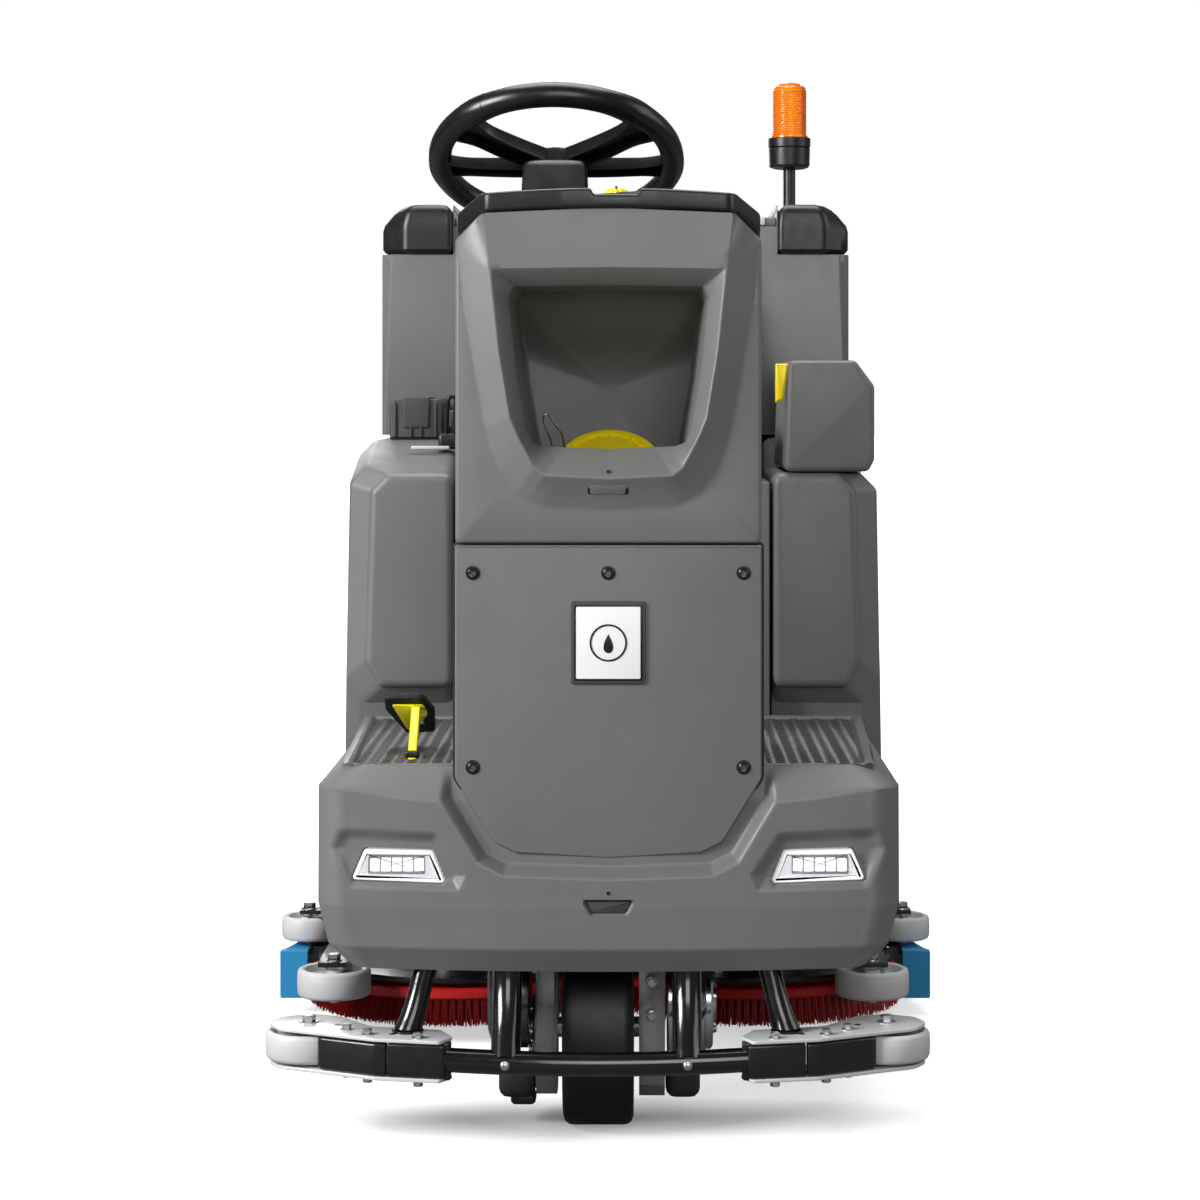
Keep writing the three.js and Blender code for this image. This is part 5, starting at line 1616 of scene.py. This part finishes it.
def make_drive_fittings():
    """Axle cap, fork plate, gear housings, round gear cover and their bolts."""
    y = DRIVE_Y
    q = Parts()
    q.add(*revolve([(0, -90), (40, -90), (44, -86), (44, -84.6), (0, -84.6)], (0, y, AXLE_Z), "x", 56),
          0)
    q.add(*hex_bolt((-90, y, AXLE_Z), "x", 26, 9, 18, up=-1), 1)
    for a in np.radians((0, 60, 120, 180, 240, 300)):
        q.add(*hex_bolt((-89.5, y + 32 * np.cos(a), AXLE_Z + 32 * np.sin(a)), "x", 8, 3.4, 5.5, up=-1),
              1)
    q.add(*block(-84.6, -57, y - 56, y - 50.4, 100, 262, 2.4), 2)
    q.add(*hex_bolt((72, y - 70, 205), "y", 11, 5, 8, up=-1), 1)
    q.add(*hex_bolt((72, y - 72, 160), "y", 11, 5, 8, up=-1), 1)
    q.add(*block(-136, -85.5, y - 30, y + 44, 38, 90, 12), 3)
    q.add(*block(91, 138, y - 30, y + 44, 38, 84, 12), 3)
    q.add(*block(-120, -85.5, y - 16, y + 24, 26, 42, 6), 3)
    cover = [(0, -150), (50, -150), (62, -146), (70, -138), (72, -130), (72, -96), (70, -93), (0, -93)]
    q.add(*revolve(cover, (0, y, 175), "x", 64), 4)
    q.add(*revolve([(0, 91), (3.6, 91), (3.6, 91.8), (0, 91.8)], (0, y - 30, 185), "x", 16), 3)
    casting = moulded("gear_casting", srgb(52, 52, 53), 0.4, 300.0, 0.00008)
    alloy = metal("cast_alloy", srgb(168, 168, 170), 0.3)
    burnished = metal("burnished_steel", srgb(120, 120, 122), 0.2)
    q.make("drive_fittings", [dull_steel(), bright_steel(), alloy, casting, burnished],
           "steer_unit", "bright_steel", 35)


def make_pedal():
    """Accelerator: a black hoop pad round a yellow plate, on a yellow arm with rivets."""
    arm = Parts()
    side = round_corners([(-790, 500), (-777, 500), (-694, 556), (-698, 567), (-712, 566)],
                         (4, 3, 4, 4, 6), 4)
    arm.add(*slab(side, "x", -257, -245.5, 1.2, 2), 0)
    arm.add(*block(-261, -241, -786, -776, 504, 514, 3), 1)
    a = arm.make("accelerator_lever", [yellow_paint(), black_plastic()], "accelerator", "yellow_steel")
    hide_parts("accelerator_arm")
    along = np.array((0, -68.5, 56.0)) / np.hypot(68.5, 56.0)
    normal = np.array((0, -along[2], along[1]))
    centre = np.array((-261.0, -672, 552.0))

    def on_pad(outline, low, high, edge):
        v, f = slab(outline, "z", low, high, edge, 3)
        out = centre + v[:, :1] * (1, 0, 0) + v[:, 1:2] * along + v[:, 2:3] * normal
        return out, outward(out, f)

    hoop = round_corners([(-34, 46), (19, 46), (34, 12), (32, -40), (-8, -44), (-34, 16)],
                         (7, 14, 14, 8, 9, 16), 7)
    p = Parts()
    p.add(*on_pad(hoop, -5, 5, 3), 0)
    for k in range(6):
        p.add(*on_pad(rect(-24 + 2.0 * max(k - 3, 0), 24, 30 - 11 * k, 34 - 11 * k, 1.5, 3), -7.4, -4.6,
                      0.8), 0)
    p.add(*on_pad(round_corners([(-24, 31), (20, 31), (24, 8), (4, -34), (-6, -30)], (3, 6, 8, 3, 3), 4),
                  4.6, 7, 0.6), 1)
    p.add(*on_pad(rect(2, 22, 22, 24.4, 0.5, 2), 6.6, 7.3, 0.1), 0)
    for x, y in ((3, 2), (18, 4), (5, -22), (16, -12)):
        v, f = revolve([(0, 6), (2.8, 6), (2.8, 8.4), (1.8, 9.4), (0, 9.6)], (x, y, 0), "z", 16)
        out = centre + v[:, :1] * (1, 0, 0) + v[:, 1:2] * along + v[:, 2:3] * normal
        p.add(out, outward(out, f), 2)
    o = p.make("accelerator_hoop_pad", [rubber_black(), yellow_paint(), bright_steel()], "accelerator",
               "rubber", 35)
    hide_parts("accelerator_pad")


def make_squeegee():
    """Squeegee: curved bar with knobs, two blades, wheels, and the ribbed suction hose with cuffs."""
    cad_copy("squeegee_frame", "squeegee_weldment", frame_black(), 2, 3)
    cad_copy("squeegee_blade", "squeegee_blades", rubber_black(), 0.6, 1)
    knobs = Parts()
    for a in np.linspace(-0.42, 0.42, 6):
        x, y = 962 * np.sin(a), -121 + 962 * np.cos(a)
        t = np.linspace(0, 2 * np.pi, 60, endpoint=False)
        lobes = 15 + 1.8 * np.cos(5 * t)
        rings = [np.stack([x + lobes * k * np.cos(t), y + lobes * k * np.sin(t), z + 0 * t], -1) for k,
                 z in ((0.6, 135), (0.6, 142), (0.96, 143), (1, 147), (0.98, 155), (0.8, 158),
                       (0.1, 158.6))]
        knobs.add(*skin(rings))
    knobs.make("squeegee_knobs", yellow_plastic(), "squeegee", "yellow_plastic", 30)
    for side, hand in SIDES:
        p = Parts()
        p.add(*revolve([(6, -10), (30, -10), (34, -9), (37.4, -6), (38, -2), (38, 2), (37.4, 6), (34, 9),
                        (30, 10), (6, 10)], (side * 250, 885, 87), "x", 56, closed=True))
        o = p.make("squeegee_roller_" + hand, roller_grey(), "squeegee_wheel_" + hand, "roller_plastic",
                   40)
        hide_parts("squeegee_wheel_" + hand)
    path = curve_through([(0, 842, 166), (0, 848, 195), (0, 882, 265), (0, 918, 340), (0, 926, 460),
                          (0, 926, 720), (0, 926, 1000)], 560)
    gone = np.concatenate([[0], np.cumsum(np.linalg.norm(np.diff(path, axis=0), axis=1))])
    ribs = 20.4 + 1.6 * np.cos(2 * np.pi * gone / 7.5)
    cuff = (gone < 45) | (gone > gone[-1] - 55)
    hose = Parts()
    hose.add(*tube(path, np.where(cuff, 22.0, ribs), 26, up=(1, 0, 0)))
    o = hose.make("suction_hose_ribbed", rubber_black(), slot="rubber", smooth=60)
    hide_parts("suction_hose")


def make_rest():
    """Battery, suction motor, side console, squeegee lever, catch, lid strips and the rear's fittings."""
    cad_copy("battery_block", "battery_block_shape", dark_plastic(), 4, 3)
    cad_copy("suction_motor", "suction_motor_shape", dark_plastic(), 3, 3)
    make_side_console()
    make_lever()
    make_catch()
    make_rear_fittings()


def make_side_console():
    """Ribbed console beside the seat, on the machine's right."""
    p = Parts()
    box = [(-356, 921.5), (-272, 921.5), (-272, 979), (-278, 986), (-350, 986), (-356, 979)]
    rings = slab(round_corners(box, (2, 2, 5, 5, 5, 5), 4), "y", -70, 110, 4, 3)
    p.add(*rings, 0)
    p.add(*slab(round_corners([(-334, 940), (-294, 940), (-292, 989), (-336, 989)], 3, 3), "y", -74, 60,
                2.4, 3), 0)
    for x in (-347, -322, -306, -283):
        p.add(*block(x - 1.6, x + 1.6, -73.5, -66, 926, 980, 1), 0)
    p.add(*block(-268, -248, -72, -60, 940, 968, 3), 0)
    v = p.make("side_console", dark_plastic(), slot="dark_plastic", smooth=35)
    v.data.transform(Matrix.Translation((BODY_X * 0.001, 0, 0)))
    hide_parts("side_console_right")


def make_lever():
    """Wire loop lever that lifts the squeegee, in its block."""
    lever = Parts()
    loop = curve_through([(-246, -150, 930), (-244, -158, 965), (-242, -162, 985), (-236, -162, 990),
                          (-230, -160, 984), (-232, -154, 960), (-234, -150, 930)], 50)
    lever.add(*tube(loop, 3.6, 12))
    lever.add(*block(-258, -222, -160, -140, 908, 932, 4))
    lever.add(*block(-300, -240, -168, -160, 908, 913, 1.5), 1)
    lever.make("squeegee_lever", [black_plastic(), roller_grey()], slot="black_plastic", smooth=50)


def make_catch():
    """Yellow catch of the side box and the pale strips beside the column's top."""
    catch = Parts()
    plan = round_corners([(262, 1040), (282, 1040), (282, 1034), (274, 985), (262, 980)], 2, 3)
    catch.add(*slab(plan, "y", -262, -246, 3))
    catch.make("yellow_catch", yellow_plastic(), slot="yellow_plastic")
    trim = Parts()
    trim.add(*block(222, 262, 122.6, 127, 1272, 1284, 1.5))
    trim.add(*block(-232, -192, 122.6, 127, 1272, 1284, 1.5))
    trim.make("lid_strip", roller_grey(), slot="roller_plastic")


def make_rear_fittings():
    """Louvres, inspection cover and plugs on the tank's rear, and the drain hose."""
    rear = Parts()
    for k in range(5):
        rear.add(*block(-180 + BODY_X, -60 + BODY_X, 893, 897.5, 720 + 26 * k, 732 + 26 * k, 2), 0)
    rear.add(*block(96 + BODY_X, 200 + BODY_X, 893, 899, 640, 860, 5), 1)
    rear.add(*block(110 + BODY_X, 186 + BODY_X, 896, 901, 660, 840, 3), 0)
    for x in (-300, 330):
        rear.add(*revolve([(0, 893), (34, 893), (36, 896), (36, 899), (30, 901), (0, 901)], (x, 0, 560),
                          "y", 48), 1)
    drain = curve_through([(-120, 900, 640), (-120, 915, 636), (-120, 922, 610), (-121, 924, 540),
                           (-122, 924, 470), (-122, 920, 430)], 60)
    rear.add(*tube(drain, 15, 20, up=(1, 0, 0)), 1)
    rear.make("rear_fittings", [dark_plastic(), black_plastic()], slot="dark_plastic", smooth=40)


def make_stage():
    """Pale floor with a painted shadow under the machine, white surround, soft lamps and the camera."""
    scene = bpy.context.scene
    scene.view_settings.view_transform = "Standard"
    floor = bpy.data.meshes.new("floor")
    floor.from_pydata([(-30, -12, 0), (30, -12, 0), (30, 60, 0), (-30, 60, 0)], [], [(0, 1, 2, 3)])
    ground = bpy.data.objects.new("floor", floor)
    scene.collection.objects.link(ground)
    n = Nodes("floor_pale")
    away = n.new("VectorMath", Vector=n.coords)
    away.operation = "LENGTH"
    far = n.spread(away.outputs["Value"], 0.56, 1.2, 1.3, 2.6)
    # An ellipse about 0.62 m across and 0.12 m deep round Y −0.7 m: painted shadow under the machine, which
    # darkens the floor's colour and glow there.
    near = n.new("Mapping", Vector=n.coords)
    near.inputs["Location"].default_value = (0.0, 3.5, 0.0)
    near.inputs["Scale"].default_value = (1.0, 5.0, 1.0)
    ring = n.new("VectorMath", Vector=near.outputs["Vector"])
    ring.operation = "LENGTH"
    painted_shadow = n.spread(ring.outputs["Value"], 0.0, 1.0, 0.0, 0.62)
    eye = n.new("LightPath").outputs["Is Camera Ray"]
    # Inside that ellipse the base colour falls to 0.42 and the glow to 0.2: painted shadow.
    n.into("Base Color", n.mix(eye, (0.16, 0.16, 0.16, 1), n.mix(painted_shadow, (0.42, 0.42, 0.42, 1),
            (0.95, 0.95, 0.95, 1))))
    n.into("Roughness", 0.9)
    n.into("Specular IOR Level", 0.0)
    n.into("Emission Color", n.mix(eye, (0.05, 0.05, 0.05, 1),
                                   n.mix(painted_shadow, (0.2, 0.2, 0.2, 1), (1.0, 1.0, 1.0, 1))))
    n.into("Emission Strength", far)
    floor.materials.append(n.material)
    world = bpy.data.worlds.new("surround")
    scene.world = world
    world.use_nodes = True
    tree = world.node_tree
    seen, light = tree.nodes["Background"], tree.nodes.new("ShaderNodeBackground")
    seen.inputs["Color"].default_value = light.inputs["Color"].default_value = (1, 1, 1, 1)
    seen.inputs["Strength"].default_value, light.inputs["Strength"].default_value = 1.0, 0.15
    path, pick = tree.nodes.new("ShaderNodeLightPath"), tree.nodes.new("ShaderNodeMixShader")
    tree.links.new(path.outputs["Is Camera Ray"], pick.inputs[0])
    tree.links.new(light.outputs[0], pick.inputs[1])
    tree.links.new(seen.outputs[0], pick.inputs[2])
    tree.links.new(pick.outputs[0], tree.nodes["World Output"].inputs["Surface"])
    for name, place_at, aim, size, power in (
            ("key", (-4.0, -3.0, 2.6), (0, -0.4, 0.75), 2.0, 330.0),
            ("front", (0.6, -5.5, 2.6), (0, -0.4, 0.7), 2.6, 84.0),
            ("side", (3.6, -0.6, 2.2), (0, 0.0, 0.7), 2.4, 30.0),
            ("top", (0, 0.4, 4.2), (0, 0.1, 0.6), 2.6, 110.0),
            ("rear", (-0.8, 4.5, 2.6), (0, 0.2, 0.7), 2.6, 70.0)):
        data = bpy.data.lights.new(name, "AREA")
        data.energy, data.size = power, size
        lamp = bpy.data.objects.new(name, data)
        lamp.location = place_at
        lamp.rotation_euler = (Vector(aim) - Vector(place_at)).to_track_quat("-Z", "Y").to_euler()
        scene.collection.objects.link(lamp)
    view = bpy.data.cameras.new("camera")
    view.lens, view.sensor_width = 90.0, 36.0
    view.shift_x, view.shift_y = -0.035, -0.175
    view.clip_end = 200.0
    camera = bpy.data.objects.new("camera", view)
    camera.location = (0.059, -4.825, 1.0)
    camera.rotation_euler = (np.pi / 2, 0, 0)
    scene.collection.objects.link(camera)
    scene.camera = camera


# ---- operators --------------------------------------------------------------------------------------

class SCRUBBER_OT_stage(bpy.types.Operator):
    """Makes: pale floor with a painted shadow under the machine, white surround, soft lamps and the camera
    """
    bl_idname = "scrubber.stage"
    bl_label = "Stage"
    bl_options = {"REGISTER", "UNDO"}

    def execute(self, context):
        make_stage()
        return {"FINISHED"}


class SCRUBBER_OT_column(bpy.types.Operator):
    """Makes: column with its hopper, the hopper's latch with a black rim of painted shade, black discs of
    painted shade for the vent holes, and the top cap
    """
    bl_idname = "scrubber.column"
    bl_label = "Column"
    bl_options = {"REGISTER", "UNDO"}

    def execute(self, context):
        make_column()
        return {"FINISHED"}


class SCRUBBER_OT_service_panel(bpy.types.Operator):
    """Makes: front service panel on a black rim of painted shadow, with five socket screws and a plain
    badge
    """
    bl_idname = "scrubber.service_panel"
    bl_label = "Service panel"
    bl_options = {"REGISTER", "UNDO"}

    def execute(self, context):
        make_service_panel()
        return {"FINISHED"}


class SCRUBBER_OT_skirt(bpy.types.Operator):
    """Makes: front skirt with its lamp bezels, the deck and both anti-slip treads"""
    bl_idname = "scrubber.skirt"
    bl_label = "Skirt"
    bl_options = {"REGISTER", "UNDO"}

    def execute(self, context):
        make_skirt()
        return {"FINISHED"}


class SCRUBBER_OT_headlights(bpy.types.Operator):
    """Makes: headlights: a bright reflector tray, five square light cells and a clear rimmed lens in
    each bezel"""
    bl_idname = "scrubber.headlights"
    bl_label = "Headlights"
    bl_options = {"REGISTER", "UNDO"}

    def execute(self, context):
        make_lamps()
        return {"FINISHED"}


class SCRUBBER_OT_tanks(bpy.types.Operator):
    """Makes: side tanks, recovery tank with its lid and handle caps, seat base and side box"""
    bl_idname = "scrubber.tanks"
    bl_label = "Tanks"
    bl_options = {"REGISTER", "UNDO"}

    def execute(self, context):
        make_tanks()
        return {"FINISHED"}


class SCRUBBER_OT_steering(bpy.types.Operator):
    """Makes: steering wheel, its shroud, the driver's console, the program selector and the stop button"""
    bl_idname = "scrubber.steering"
    bl_label = "Steering"
    bl_options = {"REGISTER", "UNDO"}

    def execute(self, context):
        make_steering()
        return {"FINISHED"}


class SCRUBBER_OT_filler(bpy.types.Operator):
    """Makes: yellow filler lid with a raised middle and grip ribs, its neck and its wire bail"""
    bl_idname = "scrubber.filler"
    bl_label = "Filler"
    bl_options = {"REGISTER", "UNDO"}

    def execute(self, context):
        make_filler()
        return {"FINISHED"}


class SCRUBBER_OT_seat(bpy.types.Operator):
    """Makes: seat cushion and backrest with sewn channels and piping, on a black shell"""
    bl_idname = "scrubber.seat"
    bl_label = "Seat"
    bl_options = {"REGISTER", "UNDO"}

    def execute(self, context):
        make_seat()
        return {"FINISHED"}


class SCRUBBER_OT_beacon(bpy.types.Operator):
    """Makes: beacon: a turned mast and collar with three foot bolts, and an amber lens ribbed by an
    absolute sine"""
    bl_idname = "scrubber.beacon"
    bl_label = "Beacon"
    bl_options = {"REGISTER", "UNDO"}

    def execute(self, context):
        make_beacon()
        return {"FINISHED"}


class SCRUBBER_OT_rollers(bpy.types.Operator):
    """Makes: bumper, deck and side rollers, a pair of each"""
    bl_idname = "scrubber.rollers"
    bl_label = "Rollers"
    bl_options = {"REGISTER", "UNDO"}

    def execute(self, context):
        make_rollers()
        return {"FINISHED"}


class SCRUBBER_OT_bumper(bpy.types.Operator):
    """Makes: bumper: plates with bolts, coloured pale as a painted reflection of the studio on them, black
    two-part arms, glossy struts, clevises and bowed tube"""
    bl_idname = "scrubber.bumper"
    bl_label = "Bumper"
    bl_options = {"REGISTER", "UNDO"}

    def execute(self, context):
        make_bumper()
        return {"FINISHED"}


class SCRUBBER_OT_brushes(bpy.types.Operator):
    """Makes: disc brushes, the deck that carries them, its bolts and brackets, and the blue side lips"""
    bl_idname = "scrubber.brushes"
    bl_label = "Brushes"
    bl_options = {"REGISTER", "UNDO"}

    def execute(self, context):
        make_brushes()
        return {"FINISHED"}


class SCRUBBER_OT_drive(bpy.types.Operator):
    """Makes: drive wheel and rear wheels, chassis, steered fork with its motor drum and fittings"""
    bl_idname = "scrubber.drive"
    bl_label = "Drive"
    bl_options = {"REGISTER", "UNDO"}

    def execute(self, context):
        make_drive()
        return {"FINISHED"}


class SCRUBBER_OT_pedal(bpy.types.Operator):
    """Makes: accelerator: a black hoop pad round a yellow plate, on a yellow arm with rivets"""
    bl_idname = "scrubber.pedal"
    bl_label = "Pedal"
    bl_options = {"REGISTER", "UNDO"}

    def execute(self, context):
        make_pedal()
        return {"FINISHED"}


class SCRUBBER_OT_squeegee(bpy.types.Operator):
    """Makes: squeegee: curved bar with knobs, two blades, wheels, and the ribbed suction hose with cuffs"""
    bl_idname = "scrubber.squeegee"
    bl_label = "Squeegee"
    bl_options = {"REGISTER", "UNDO"}

    def execute(self, context):
        make_squeegee()
        return {"FINISHED"}


class SCRUBBER_OT_trim(bpy.types.Operator):
    """Makes: battery, suction motor, side console, squeegee lever, catch, lid strips and the rear's
    fittings"""
    bl_idname = "scrubber.trim"
    bl_label = "Trim"
    bl_options = {"REGISTER", "UNDO"}

    def execute(self, context):
        make_rest()
        return {"FINISHED"}


OPERATORS = (SCRUBBER_OT_stage, SCRUBBER_OT_column, SCRUBBER_OT_service_panel, SCRUBBER_OT_skirt,
             SCRUBBER_OT_headlights, SCRUBBER_OT_tanks, SCRUBBER_OT_steering, SCRUBBER_OT_filler,
             SCRUBBER_OT_seat, SCRUBBER_OT_beacon, SCRUBBER_OT_rollers, SCRUBBER_OT_bumper,
             SCRUBBER_OT_brushes, SCRUBBER_OT_drive, SCRUBBER_OT_pedal, SCRUBBER_OT_squeegee,
             SCRUBBER_OT_trim)


class SCRUBBER_PT_sidebar(bpy.types.Panel):
    """Lists the sizes, the colours and one button for each group of pieces"""
    bl_idname = "SCRUBBER_PT_sidebar"
    bl_label = "Ride-on floor scrubber"
    bl_space_type = "VIEW_3D"
    bl_region_type = "UI"
    bl_category = "Scrubber"

    def draw(self, context):
        for name in ScrubberSettings.__annotations__:
            self.layout.prop(context.scene.scrubber, name)
        for cls in OPERATORS:
            self.layout.operator(cls.bl_idname)


CLASSES = (ScrubberSettings, *OPERATORS, SCRUBBER_PT_sidebar)


def register():
    for cls in CLASSES:
        bpy.utils.register_class(cls)
    bpy.types.Scene.scrubber = bpy.props.PointerProperty(type=ScrubberSettings)


def unregister():
    del bpy.types.Scene.scrubber
    for cls in reversed(CLASSES):
        bpy.utils.unregister_class(cls)


def main():
    """Makes every piece in order."""
    register()
    for cls in OPERATORS:
        getattr(bpy.ops.scrubber, cls.bl_idname.split(".")[1])()


if __name__ == "__main__":
    main()
